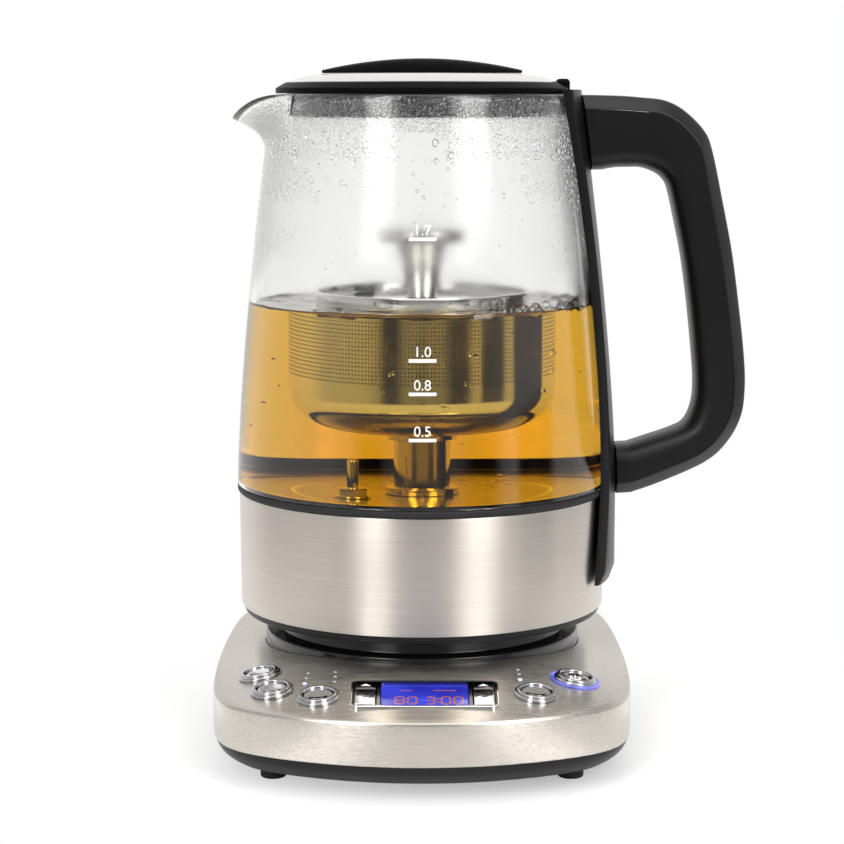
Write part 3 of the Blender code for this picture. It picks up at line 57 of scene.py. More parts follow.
SHARP_ANGLE = math.radians(32)
TURN_STEPS = 180
SMALL_TURN_STEPS = 48
FILLET_STEPS = 5
ROUND_STEPS = 6

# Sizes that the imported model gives
BAND_LOW, BAND_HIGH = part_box("jug_band")
GLASS_LOW, GLASS_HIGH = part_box("jug_glass")
COVER_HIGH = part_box("base_cover")[1]
STRAP_LOW, STRAP_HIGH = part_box("handle_strap")
AXIS = Vector(((BAND_LOW.x + BAND_HIGH.x) / 2, (BAND_LOW.y + BAND_HIGH.y) / 2, 0))

# Base plan and shell
BASE_HALF_WIDTH = 83.4 * MM
BASE_FRONT = 122.0 * MM
BASE_BACK = 96.0 * MM
FRONT_BOW = 29.0 * MM
BACK_BOW = 17.0 * MM
SIDE_BOW = 5.8 * MM
CORNER_SHARPNESS = 13
OUTLINE_STEPS = 240
BASE_MIDDLE_Y = (BASE_BACK - BASE_FRONT) / 2
BASE_HALF_DEPTH = (BASE_BACK + BASE_FRONT) / 2
DOME_RISE = 8.5 * MM
DOME_POWER = 1.3
DOME_FLAT_SHARE = 0.45
DOME_EDGE_SHARE = 0.97
DOME_RINGS = 22
COVER_SKIRT = 17.0 * MM
SKIRT_ROW_SHARES = (0.3, 0.6)
COVER_EDGE_ROUND = 1.4 * MM
COVER_EDGE_TURN = math.radians(78)
COVER_WALL = 1.2 * MM
COVER_EDGE_Z = COVER_HIGH.z - DOME_RISE
COVER_FOOT_Z = COVER_EDGE_Z - COVER_SKIRT
TRAY_FOOT_INSET = 8.4 * MM
TRAY_WALL = 2.6 * MM
TRAY_RINGS = 12
TRAY_ROUND = 1.2 * MM
FOOT_RADIUS = 5.0 * MM
FOOT_ROUND = 1.3 * MM
FOOT_GROOVE = 0.6 * MM
BOSS_RADIUS = 3.6 * MM
GLAND_RADIUS = 4.0 * MM
GLAND_BORE = 2.2 * MM
GLAND_LENGTH = 12.0 * MM
GLAND_FLANGE = 1.6 * MM
GLAND_PROUD = 2.0 * MM
GLAND_RISE = 9.9 * MM

# Turret and power plug
TURRET_LEDGE_PROUD = 2.1 * MM
TURRET_LEDGE_WIDTH = 7.5 * MM
TURRET_RIM_WIDTH = 4.0 * MM
TURRET_WELL_DEPTH = 6.0 * MM
TURRET_WALL = 2.4 * MM
TURRET_ROUND = 0.8 * MM
PLUG_RADIUS = 11.4 * MM
PLUG_TIP_RADIUS = 7.0 * MM
PLUG_TIP_HEIGHT = 6.0 * MM
PLUG_BORE = 2.6 * MM
PLUG_GROOVE = 0.5 * MM
PLUG_GROOVE_SHARES = (0.35, 0.6)

# Buttons, dots and display
BUTTONS = ("brew", "warm", "auto", "start", "power")
BUTTON_PLACE_SHARES = {
    "brew": (-0.759, 0.541),
    "warm": (-0.687, 0.714),
    "auto": (-0.471, 0.795),
    "start": (0.518, 0.766),
    "power": (0.711, 0.607),
}
DOT_PLACE_SHARES = {
    "left": ((-0.531, 0.578), (-0.536, 0.622), (-0.540, 0.669)),
    "middle": ((-0.403, 0.584), (-0.403, 0.625), (-0.403, 0.668)),
    "right": ((0.448, 0.557), (0.451, 0.598), (0.453, 0.646)),
}
LIT_DOTS = (("left", 2), ("right", 2))
RING_RADIUS = 8.4 * MM
RING_STEP_RADIUS = 7.5 * MM
RING_STEP_HEIGHT = 1.2 * MM
RING_BORE = 5.8 * MM
RING_HEIGHT = 2.4 * MM
RING_ROUND = 0.7 * MM
RING_SKIRT_RADIUS = 7.0 * MM
RING_SKIRT = 3.0 * MM
CAP_RADIUS = 5.45 * MM
CAP_HEIGHT = 1.5 * MM
CAP_DEPTH = 4.0 * MM
CAP_DISH = 0.5 * MM
CAP_LIP = 0.9 * MM
CAP_ROUND = 0.3 * MM
HALO_WIDTH = 1.3 * MM
HALO_HEIGHT = 0.7 * MM
DOT_RADIUS = 0.75 * MM
DOT_PROUD = 0.25 * MM
DOT_BAR_THICKNESS = 1.5 * MM
DOT_BAR_HALF = 1.5 * MM
DISPLAY_PLACE_SHARES = (0.012, 0.792)
DISPLAY_WIDTH_SHARE = 0.6715
DISPLAY_WIDTH = DISPLAY_WIDTH_SHARE * BASE_HALF_WIDTH
DISPLAY_DEPTH = 24.8 * MM
DISPLAY_CORNER = 3.0 * MM
DISPLAY_PROUD = 0.5 * MM
DISPLAY_HEIGHT = 5.0 * MM
DISPLAY_EASE = 0.25 * MM
BEZEL_WALL = 1.2 * MM
TRIM_WIDTH = 0.55 * MM
TRIM_PROUD = 0.12 * MM
WINDOW_WIDTH_SHARE = 0.6
WINDOW_WIDTH = WINDOW_WIDTH_SHARE * DISPLAY_WIDTH
WINDOW_THICKNESS = 1.5 * MM
PANEL_THICKNESS = 2.4 * MM
KEY_UP_SHARE = 0.36
KEY_HEIGHT = 4.2 * MM
KEY_PROUD = 0.4 * MM
KEY_ROUND = 1.0 * MM
KEY_EASE = 0.45 * MM
MARK_HEIGHT = 0.06 * MM
KEY_MARK = 1.9 * MM
SYMBOL_RADIUS = 2.2 * MM
SYMBOL_WIDTH = 0.45 * MM
SYMBOL_START = 130
SYMBOL_SWEEP = 280
SYMBOL_BAR_SHARE = 0.8
DIGIT_HEIGHT = 6.4 * MM
DIGIT_WIDTH = 3.2 * MM
DIGIT_STROKE = 0.75 * MM
DIGIT_PITCH = 4.7 * MM
DIGIT_ROW_SHARE = -0.17
DIGIT_SHIFT_SHARE = -0.6
DIGIT_COLUMNS = (("8", -1.4), ("0", -0.4), ("3", 1.05), ("0", 2.3), ("0", 3.3))
COLON_COLUMN = 1.68
LABEL_ROW_SHARE = 0.25
LABEL_COLUMNS = ((-0.9, 1.0), (2.2, 1.8))
LABEL_STROKE = 0.5 * MM
SEGMENTS = {
    "top": (0, 1, True),
    "middle": (0, 0, True),
    "bottom": (0, -1, True),
    "left_high": (-1, 0.5, False),
    "right_high": (1, 0.5, False),
    "left_low": (-1, -0.5, False),
    "right_low": (1, -0.5, False),
}
DIGIT_SEGMENTS = {
    "8": tuple(SEGMENTS),
    "0": ("top", "bottom", "left_high", "right_high", "left_low", "right_low"),
    "3": ("top", "middle", "bottom", "right_high", "right_low"),
}

# Kettle shell
BAND_WALL = 0.9 * MM
BAND_TAPER = 0.4 * MM
BAND_EDGE = 0.35 * MM
UNDER_LIP_CLEARANCE = 5.3 * MM
UNDER_THICKNESS = 2.6 * MM
UNDER_WALL = 2.4 * MM
UNDER_ROUND = 1.6 * MM
SOCKET_HOLE = 17.7 * MM
SEAL_HEIGHT = 2.8 * MM
SEAL_WALL = 1.7 * MM
SEAL_LIP = 1.2 * MM
SEAL_ROUND = 0.9 * MM
PLATE_THICKNESS = 1.5 * MM
PLATE_GROOVE = 0.5 * MM
PLATE_GROOVE_RADII = (40.0 * MM, 55.0 * MM)
PLATE_GROOVE_WIDTH = 1.6 * MM
PLATE_GROOVE_SHARES = ((0.5, 0), (0.2, 1), (-0.2, 1), (-0.5, 0))
GLASS_TAPER = 15.3 * MM
GLASS_WALL = 2.8 * MM
GLASS_TAPER_POWER = 1.445
GLASS_ROWS = 30
GLASS_STEPS = 216
SPOUT_ROWS = 22
SPOUT_REACH = 17.0 * MM
SPOUT_DROOP = 9.6 * MM
SPOUT_HEIGHT = 24.0 * MM
SPOUT_HALF_ANGLE = math.radians(33)
SPOUT_REACH_ACROSS_POWER = 0.6
SPOUT_REACH_UP_POWER = 2
SPOUT_DROOP_ACROSS_POWER = 2.5
SPOUT_DROOP_UP_POWER = 1.25
GLASS_FOOT_RADIUS = (GLASS_HIGH.y - GLASS_LOW.y) / 2
POST_RADIUS = 8.8 * MM
POST_FLANGE_WIDTH = 2.7 * MM
POST_FLANGE = 2.4 * MM
POST_ROUND = 1.2 * MM
PROBE_REACH = 26.6 * MM
PROBE_ANGLE = math.radians(212)
PROBE_RADIUS = 1.9 * MM
PROBE_NUT_RADIUS = 6.0 * MM
PROBE_NUT_HEIGHT = 3.6 * MM
PROBE_NUT_SHARE = 0.86
PROBE_NUT_TOP_SHARE = 0.93
PROBE_WASHER = 0.8 * MM

# Strap and handle
STRAP_CLEARANCE = 0.4 * MM
STRAP_THICKNESS = 3.3 * MM
STRAP_TOP_HALF = 26.0 * MM
STRAP_WAIST_HALF = 21.0 * MM
STRAP_FOOT_HALF = 32.0 * MM
STRAP_WAIST_SHARE = 0.6
STRAP_CHAMFER = 5.0 * MM
STRAP_TIP_SHARE = 0.45
STRAP_ROWS = 60
STRAP_COLUMNS = 30
STRAP_EASE = 0.8 * MM
HANDLE_REACH = 132.4 * MM
HANDLE_RISE = 32.6 * MM
HANDLE_DROP = 2.1 * MM
HANDLE_HALF_WIDTH = 13.4 * MM
HANDLE_SPINE_HALF = 7.6 * MM
HANDLE_BELLY_HALF = 5.5 * MM
HANDLE_COVER_DEPTH = 5.4 * MM
HANDLE_BELLY_DEPTH = 8.0 * MM
HANDLE_SPINE_ROUND = 1.6 * MM
HANDLE_EDGE_ROUND = 0.5 * MM
HANDLE_ROWS_BETWEEN = 7
HANDLE_SPINE_SHARES = ((0, -1), (0.12, -0.35), (0.5, 0.3))
HANDLE_LINE_SHARES = (
    (0.520, 1.000, 0.545, 0.816),
    (0.604, 0.998, 0.589, 0.822),
    (0.668, 0.994, 0.628, 0.823),
    (0.738, 0.987, 0.671, 0.822),
    (0.798, 0.963, 0.717, 0.808),
    (0.860, 0.914, 0.742, 0.790),
    (0.887, 0.864, 0.756, 0.765),
    (0.921, 0.740, 0.778, 0.687),
    (0.952, 0.616, 0.800, 0.601),
    (0.975, 0.490, 0.820, 0.490),
    (0.994, 0.365, 0.837, 0.365),
    (1.000, 0.276, 0.844, 0.289),
    (0.989, 0.201, 0.839, 0.232),
    (0.947, 0.136, 0.815, 0.187),
    (0.878, 0.085, 0.770, 0.167),
    (0.739, 0.034, 0.693, 0.146),
    (0.640, 0.006, 0.634, 0.130),
)

# Lid
LID_RIM_WIDTH = 4.3 * MM
LID_RIM_EDGE_HEIGHT = 2.1 * MM
LID_RIM_HEIGHT = 4.4 * MM
LID_CROWN = 3.2 * MM
LID_CROWN_POWER = 1.8
LID_PLATE_WALL = 1.0 * MM
LID_DISH_RADIUS = 36.0 * MM
LID_DISH_LIP = 2.0 * MM
LID_DISH_SLOPE = 7.0 * MM
LID_DISH_DEPTH = 10.8 * MM
LID_PLUG_WALL = 1.8 * MM
LID_WINDOW_RISE = 3.1 * MM
LID_WINDOW_HEIGHT = 3.2 * MM
GASKET_EDGE_SHARE = 0.33
LID_TAB_WIDTH = 13.0 * MM
LID_TAB_LENGTH = 5.4 * MM
LID_TAB_HEIGHT = 5.6 * MM
LID_TAB_ROUND = 1.6 * MM
LID_TAB_PROUD = 0.4 * MM
GRIP_HALF_LENGTH = 40.2 * MM
GRIP_HALF_WIDTH = 11.0 * MM
GRIP_RISE = 6.2 * MM
GRIP_END_THICKNESS = 1.2 * MM
GRIP_END_WIDTH_SHARE = 0.8
GRIP_ROWS = 48
GRIP_SIDE_STEPS = 14
GRIP_ACROSS_POWER = 0.6
GRIP_UP_POWER = 0.7
CLIP_HALF_ANGLE = math.radians(6)
CLIP_ANGLES = (math.radians(-108), math.radians(-68))
CLIP_LOW = 6.2 * MM
CLIP_HIGH = 8.8 * MM
CLIP_PROUD = 0.35 * MM

# Basket
BASKET_RADIUS = 43.5 * MM
BASKET_BODY_RADIUS = 41.2 * MM
BASKET_FLARE_LOW = 172.6 * MM
BASKET_FLARE_HIGH = 176.0 * MM
BASKET_RIM_WIDTH = 1.5 * MM
BASKET_CORNER = 15.0 * MM
BASKET_WALL = 1.0 * MM
BASKET_COLUMNS = 196
BASKET_HOLE_ROWS = 16
BASKET_HOLE_PITCH = 1.6 * MM
BASKET_HOLES_LOW = 21.0 * MM
BASKET_HOLE_WIDTH_SHARE = 0.48
BASKET_HOLE_HEIGHT_SHARE = 0.42
BASKET_CORNER_STEPS = 10
BASKET_RIM_SHARES = (1.4, 1.2)
SLEEVE_BORE = 9.5 * MM
SLEEVE_WALL = 1.5 * MM
BASKET_LID_STEP = 0.5 * MM
KNOB_NECK_RADIUS = 6.0 * MM
KNOB_SHOULDER_RADIUS = 10.6 * MM
KNOB_RADIUS = 18.3 * MM
KNOB_THICKNESS = 5.2 * MM
KNOB_ROUND = 1.9 * MM
KNOB_WAIST_SHARES = (0.5, 0.62)

# Tea, mist, droplets and printed marks
MIST_LOW = 188.0 * MM
MIST_HIGH = 212.0 * MM
MIST_PATCH = 26.0 * MM
BEADS_LOW = 252.0 * MM
BEADS_HIGH = 270.0 * MM
TEA_Z = 175.9 * MM
TEA_RIPPLE = 0.35 * MM
TEA_MENISCUS = 1.1 * MM
TEA_MENISCUS_REACH = 2.4 * MM
TEA_RINGS = 24
TEA_MENISCUS_SHARES = (0.0, 0.12, 0.28, 0.5, 0.75, 1.0)
TEA_MENISCUS_POWER = 2.2
TEA_WAVE_COUNT = 5
TEA_WAVES_PER_METRE = (120, 420)
MARK_LEVELS = (("1.7", 205.9 * MM), ("1.0", 159.9 * MM), ("0.8", 147.2 * MM), ("0.5", 129.6 * MM))
MARK_BAR_LENGTH = 10.6 * MM
MARK_BAR_WIDTH = 1.3 * MM
MARK_TEXT_HEIGHT = 5.6 * MM
MARK_TEXT_LIFT = 1.5 * MM
MARK_SHIFT = 0.2 * MM
DROPLET_BELTS = (
    # from z, to z, smallest, largest, tries, half-width of the clear window at the front and back
    (246.0 * MM, 258.6 * MM, 0.30 * MM, 0.62 * MM, 9000, 0.0),
    (235.0 * MM, 247.0 * MM, 0.45 * MM, 1.35 * MM, 2600, math.radians(8)),
    (218.0 * MM, 236.0 * MM, 0.30 * MM, 0.95 * MM, 2600, math.radians(38)),
    (196.0 * MM, 219.0 * MM, 0.25 * MM, 0.65 * MM, 620, math.radians(48)),
    (181.0 * MM, 215.0 * MM, 0.20 * MM, 0.45 * MM, 160, 0.0),
)
DROPLET_CELL = 3.0 * MM
DROPLET_SEED = 11
DROPLET_SIDES = 8
DROPLET_HEIGHT_SHARE = 0.7
DROPLET_SHOULDER_SHARE = 0.72
DROPLET_CLEARED_SHARE = 0.93
DROPLET_SPACING_SHARE = 0.95
BUBBLE_SEED = 5
FROTH_COUNT = 70
FROTH_BEARING = (-28, 26)
FROTH_SIZES = (0.5 * MM, 2.6 * MM)
FROTH_SPREAD = 7.0 * MM
FROTH_CLEARANCE = 3.0 * MM
BASKET_BEAD_COUNT = 46
BASKET_BEAD_SIZES = (0.25 * MM, 1.3 * MM)
BASKET_BEAD_HEIGHTS = (132.0 * MM, 172.0 * MM)
PLATE_BEAD_COUNT = 26
PLATE_BEAD_SIZES = (0.3 * MM, 1.1 * MM)
PLATE_BEAD_REACHES = (14.0 * MM, 66.0 * MM)
LEAF_SEED = 8
LEAF_COUNT = 34
LEAF_SIZES = (0.25 * MM, 0.6 * MM)
LEAF_NEAREST = 3.0 * MM
LEAF_FARTHEST = 24.0 * MM
LEAF_LIFT = 2.0 * MM
LEAF_DEPTH = 3.0 * MM

# Depth of the finest surface texture
BRUSHING_DEPTH = 0.05 * MM
TURNING_DEPTH = 0.03 * MM
GRAIN_DEPTH = 0.08 * MM
BEADING_DEPTH = 0.3 * MM
RIPPLE_DEPTH = 0.3 * MM
INK_DEPTH = 0.02 * MM

# Camera, overhead light and floor
CAMERA_PLACE = Vector((-0.0245, -0.9505, 0.2599))
CAMERA_PITCH = math.radians(7.9)
CAMERA_LENS = 100.24
CAMERA_SENSOR = 36
LIGHT_PLACE = Vector((0.1, -0.15, 1.3))
LIGHT_SIZE = 1.1
LIGHT_ENERGY = 5.0
FLOOR_RADIUS = 0.36
FLOOR_FADE_FROM = 0.05
FLOOR_FADE_TO = 0.21

# Light level of the surroundings, over shares of a sight line's reach forward or up, and the tall
# lights: where each begins and ends, in degrees, and its gain
BACK_LEVEL = 1.0
SIDE_LEVEL = 0.62
FRONT_LEVEL = 0.3
TOP_LEVEL = 0.7
BACK_FADE = (-0.7, -0.3)
FRONT_FADE = (0.1, 0.8)
TOP_FADE = (0.35, 0.85)
HORIZON_FADE = (-0.03, 0.0)
STRIP_RISE = (0.14, 0.22)
STRIP_FALL = (0.8, 0.9)
STRIP_SHADE = 0.94
LIGHT_STRIPS = (
    ((-45, -37, -27, -17), 7.0),
    ((20, 32, 45, 53), 7.0),
    ((60, 64, 86, 92), 0.0),
)


# Node helpers


def feed(tree, socket, value):
    """Links a socket to the input, or sets the input's own value."""
    if isinstance(value, bpy.types.NodeSocket):
        tree.links.new(value, socket)
    else:
        socket.default_value = value


def add_node(tree, kind, inputs=None, **settings):
    made = tree.nodes.new(kind)
    for name, value in settings.items():
        setattr(made, name, value)
    for name, value in (inputs or {}).items():
        feed(tree, made.inputs[name], value)
    return made


def calc(tree, operation, *values):
    """The output of one Math node."""
    made = add_node(tree, "ShaderNodeMath", operation=operation)
    for i, value in enumerate(values):
        feed(tree, made.inputs[i], value)
    return made.outputs[0]


def ranged(tree, value, low, high, to_low, to_high):
    """A value moved from one range to another and held inside it."""
    inputs = {"Value": value, "From Min": low, "From Max": high, "To Min": to_low, "To Max": to_high}
    return add_node(tree, "ShaderNodeMapRange", inputs).outputs["Result"]


def mixed(tree, factor, first, second):
    """A colour between two colours."""
    made = add_node(tree, "ShaderNodeMix", data_type="RGBA")
    feed(tree, made.inputs[0], factor)
    feed(tree, made.inputs[6], first)
    feed(tree, made.inputs[7], second)
    return made.outputs[2]


def scaled(tree, place, scale):
    made = add_node(tree, "ShaderNodeVectorMath", {0: place, 1: scale}, operation="MULTIPLY")
    return made.outputs[0]


def noise_of(tree, place, scale, detail=2.0):
    inputs = {"Vector": place, "Scale": scale, "Detail": detail}
    return add_node(tree, "ShaderNodeTexNoise", inputs).outputs[0]


def object_place(tree):
    return add_node(tree, "ShaderNodeTexCoord").outputs["Object"]


def new_group(name, inputs, outputs):
    """An empty shader group: its tree, what comes in and what goes out."""
    tree = bpy.data.node_groups.new(name, "ShaderNodeTree")
    for label, kind, value in inputs:
        socket = tree.interface.new_socket(label, in_out="INPUT", socket_type=kind)
        if value is not None:
            socket.default_value = value
    for label in outputs:
        tree.interface.new_socket(label, in_out="OUTPUT", socket_type="NodeSocketFloat")
    source = tree.nodes.new("NodeGroupInput")
    sink = tree.nodes.new("NodeGroupOutput")
    return tree, source.outputs, sink.inputs


def placed(tree, group, inputs):
    made = tree.nodes.new("ShaderNodeGroup")
    made.node_tree = group
    for name, value in inputs.items():
        feed(tree, made.inputs[name], value)
    return made.outputs


def brushed_grain_group():
    """Fine lines drawn out along the brushing, and slow changes of tone."""
    inputs = [("Place", "NodeSocketVector", None), ("Stretch", "NodeSocketVector", (1, 1, 1))]
    tree, given, result = new_group("Brushed grain", inputs, ["Lines", "Tone"])
    drawn = scaled(tree, given["Place"], given["Stretch"])
    fine = noise_of(tree, drawn, 1.0, 3.0)
    coarse = noise_of(tree, drawn, 0.31, 1.0)
    lines = calc(tree, "MULTIPLY_ADD", coarse, 0.4, calc(tree, "MULTIPLY", fine, 0.6))
    feed(tree, result["Lines"], ranged(tree, lines, 0.3, 0.7, 0.0, 1.0))
    feed(tree, result["Tone"], ranged(tree, noise_of(tree, given["Place"], 14.0), 0.3, 0.7, 0.0, 1.0))
    return tree


def handling_group():
    """Where fingers and cloths have been: soft smears, and a few fine specks."""
    inputs = [("Place", "NodeSocketVector", None), ("Size", "NodeSocketFloat", 30.0)]
    tree, given, result = new_group("Handling", inputs, ["Smear", "Speck"])
    smear = noise_of(tree, given["Place"], given["Size"], 4.0)
    feed(tree, result["Smear"], ranged(tree, smear, 0.42, 0.7, 0.0, 1.0))
    grain = noise_of(tree, given["Place"], calc(tree, "MULTIPLY", given["Size"], 22.0), 1.0)
    feed(tree, result["Speck"], ranged(tree, grain, 0.68, 0.75, 0.0, 1.0))
    return tree


def moulded_grain_group():
    """The fine even texture of a moulded surface."""
    inputs = [("Place", "NodeSocketVector", None), ("Size", "NodeSocketFloat", 1800.0)]
    tree, given, result = new_group("Moulded grain", inputs, ["Height", "Tone"])
    feed(tree, result["Height"], noise_of(tree, given["Place"], given["Size"], 2.0))
    feed(tree, result["Tone"], ranged(tree, noise_of(tree, given["Place"], 18.0, 3.0), 0.3, 0.7, 0.0, 1.0))
    return tree


BRUSHED_GRAIN = brushed_grain_group()
HANDLING = handling_group()
MOULDED_GRAIN = moulded_grain_group()


# Materials


def new_material(name, **plain):
    """A Principled material. The plain values go straight on the shader's own sockets."""
    material = bpy.data.materials.new(name)
    material.use_nodes = True
    tree = material.node_tree
    shader = tree.nodes["Principled BSDF"]
    for label, value in plain.items():
        shader.inputs[label.replace("_", " ")].default_value = value
    return material, tree, shader


def bumped(tree, shader, height, strength, distance):
    bump = add_node(tree, "ShaderNodeBump", {"Height": height, "Strength": strength, "Distance": distance})
    feed(tree, shader.inputs["Normal"], bump.outputs[0])


def brushed_steel(name, stretch, axis, turn, colour, roughness):
    """Steel brushed along one direction, with the lines' gloss drawn out across them."""
    material, tree, shader = new_material(name, Metallic=1.0, Anisotropic=0.9, Anisotropic_Rotation=turn)
    place = object_place(tree)
    grain = placed(tree, BRUSHED_GRAIN, {"Place": place, "Stretch": stretch})
    marks = placed(tree, HANDLING, {"Place": place, "Size": 28.0})
    light = [min(1.0, channel * 1.09) for channel in colour]
    dark = [channel * 0.9 for channel in colour]
    tint = mixed(tree, grain["Lines"], (*dark, 1), (*light, 1))
    shade = mixed(tree, calc(tree, "MULTIPLY", grain["Tone"], 0.35), tint, (*colour, 1))
    feed(tree, shader.inputs["Base Color"], shade)
    rough = calc(tree, "MULTIPLY_ADD", grain["Lines"], 0.07, roughness)
    feed(tree, shader.inputs["Roughness"], calc(tree, "MULTIPLY_ADD", marks["Smear"], 0.03, rough))
    tangent = add_node(tree, "ShaderNodeTangent", direction_type="RADIAL", axis=axis)
    feed(tree, shader.inputs["Tangent"], tangent.outputs[0])
    bumped(tree, shader, grain["Lines"], 0.08, BRUSHING_DEPTH)
    return material


def turned_steel(name, colour, roughness, pitch=3600.0):
    """Polished steel with the faint rings that a lathe or a polishing wheel leaves."""
    material, tree, shader = new_material(name, Metallic=1.0)
    place = object_place(tree)
    flat = scaled(tree, place, (1, 1, 0))
    reach = add_node(tree, "ShaderNodeVectorMath", {0: flat}, operation="LENGTH").outputs["Value"]
    split = add_node(tree, "ShaderNodeSeparateXYZ", {0: place})
    rings = add_node(tree, "ShaderNodeCombineXYZ", {0: reach, 1: 0.0, 2: split.outputs[2]}).outputs[0]
    grain = placed(tree, BRUSHED_GRAIN, {"Place": rings, "Stretch": (pitch, 1.0, pitch)})
    marks = placed(tree, HANDLING, {"Place": place, "Size": 40.0})
    dark = [channel * 0.94 for channel in colour]
    feed(tree, shader.inputs["Base Color"], mixed(tree, grain["Lines"], (*dark, 1), (*colour, 1)))
    rough = calc(tree, "MULTIPLY_ADD", grain["Lines"], 0.04, roughness)
    feed(tree, shader.inputs["Roughness"], calc(tree, "MULTIPLY_ADD", marks["Smear"], 0.08, rough))
    bumped(tree, shader, grain["Lines"], 0.04, TURNING_DEPTH)
    return material


def moulded(name, colour, roughness, grain_height, coat=0.0, worn=1.6, gleam=0.35):
    """Moulded plastic or rubber: grain, tone, and edges and faces worn a little by hands."""
    plain = {"Coat_Weight": coat, "Coat_Roughness": 0.08, "Specular_IOR_Level": gleam}
    material, tree, shader = new_material(name, **plain)
    place = object_place(tree)
    grain = placed(tree, MOULDED_GRAIN, {"Place": place})
    marks = placed(tree, HANDLING, {"Place": place, "Size": 34.0})
    light = [channel * worn for channel in colour]
    tone = calc(tree, "MULTIPLY_ADD", marks["Smear"], 0.35, calc(tree, "MULTIPLY", grain["Tone"], 0.35))
    feed(tree, shader.inputs["Base Color"], mixed(tree, tone, (*colour, 1), (*light, 1)))
    rough = calc(tree, "MULTIPLY_ADD", grain["Tone"], 0.06, roughness)
    feed(tree, shader.inputs["Roughness"], calc(tree, "MULTIPLY_ADD", marks["Smear"], -0.05, rough))
    bumped(tree, shader, grain["Height"], grain_height, GRAIN_DEPTH)
    return material


def clear(name, colour, ior, roughness=0.0, rough_change=0.0, size=60.0):
    """Glass, silicone or water. Its roughness changes a little over the surface."""
    material, tree, shader = new_material(name, Transmission_Weight=1.0, IOR=ior)
    shader.inputs["Base Color"].default_value = (*colour, 1)
    marks = placed(tree, HANDLING, {"Place": object_place(tree), "Size": size})
    rough = calc(tree, "MULTIPLY_ADD", marks["Smear"], rough_change, roughness)
    feed(tree, shader.inputs["Roughness"], rough)
    return material


def misted_glass():
    """The inner face of the glass: clear below, breathed on by steam towards the lid."""
    material, tree, shader = new_material("misted_glass", Transmission_Weight=1.0, IOR=1.47)
    shader.inputs["Base Color"].default_value = (0.985, 0.995, 0.995, 1)
    place = object_place(tree)
    height = add_node(tree, "ShaderNodeSeparateXYZ", {0: place}).outputs[2]
    patches = noise_of(tree, place, 45.0, 4.0)
    lifted = calc(tree, "MULTIPLY_ADD", patches, MIST_PATCH, height)
    mist = ranged(tree, lifted, MIST_LOW, MIST_HIGH, 0.0, 1.0)
    feed(tree, shader.inputs["Roughness"], calc(tree, "MULTIPLY", mist, 0.26))
    beads = add_node(tree, "ShaderNodeTexVoronoi", {"Vector": place, "Scale": 900.0})
    bead = ranged(tree, beads.outputs["Distance"], 0.0, 0.5, 1.0, 0.0)
    beaded = ranged(tree, lifted, BEADS_LOW, BEADS_HIGH, 0.0, 1.0)
    bumped(tree, shader, calc(tree, "MULTIPLY", bead, beaded), 0.5, BEADING_DEPTH)
    return material


def brewed_tea():
    """Amber tea: a clear surface over a liquid that takes out blue first."""
    material, tree, shader = new_material("brewed_tea", Transmission_Weight=1.0, IOR=1.33, Roughness=0.0)
    shader.inputs["Base Color"].default_value = (1, 1, 1, 1)
    ripple = noise_of(tree, object_place(tree), 160.0, 2.0)
    bumped(tree, shader, ripple, 0.03, RIPPLE_DEPTH)
    absorb = add_node(tree, "ShaderNodeVolumeAbsorption")
    absorb.inputs["Color"].default_value = (0.94, 0.755, 0.0, 1)
    absorb.inputs["Density"].default_value = 31.0
    feed(tree, tree.nodes["Material Output"].inputs["Volume"], absorb.outputs[0])
    return material


def glowing(name, colour, low_colour, strength, size, roughness=0.25):
    """A lit face whose brightness changes over it, as a lamp behind it would make it."""
    material, tree, shader = new_material(name, Emission_Strength=strength, Roughness=roughness)
    patches = noise_of(tree, object_place(tree), size, 1.0)
    shade = mixed(tree, ranged(tree, patches, 0.38, 0.62, 0.0, 1.0), (*low_colour, 1), (*colour, 1))
    feed(tree, shader.inputs["Base Color"], mixed(tree, 0.9, shade, (0.0, 0.0, 0.0, 1)))
    feed(tree, shader.inputs["Emission Color"], shade)
    return material


def printed(name, colour):
    """Screen-printed ink with a slightly uneven film."""
    material, tree, shader = new_material(name, Roughness=0.55)
    grain = placed(tree, MOULDED_GRAIN, {"Place": object_place(tree), "Size": 2600.0})
    dark = [channel * 0.9 for channel in colour]
    feed(tree, shader.inputs["Base Color"], mixed(tree, grain["Height"], (*dark, 1), (*colour, 1)))
    bumped(tree, shader, grain["Height"], 0.1, INK_DEPTH)
    return material


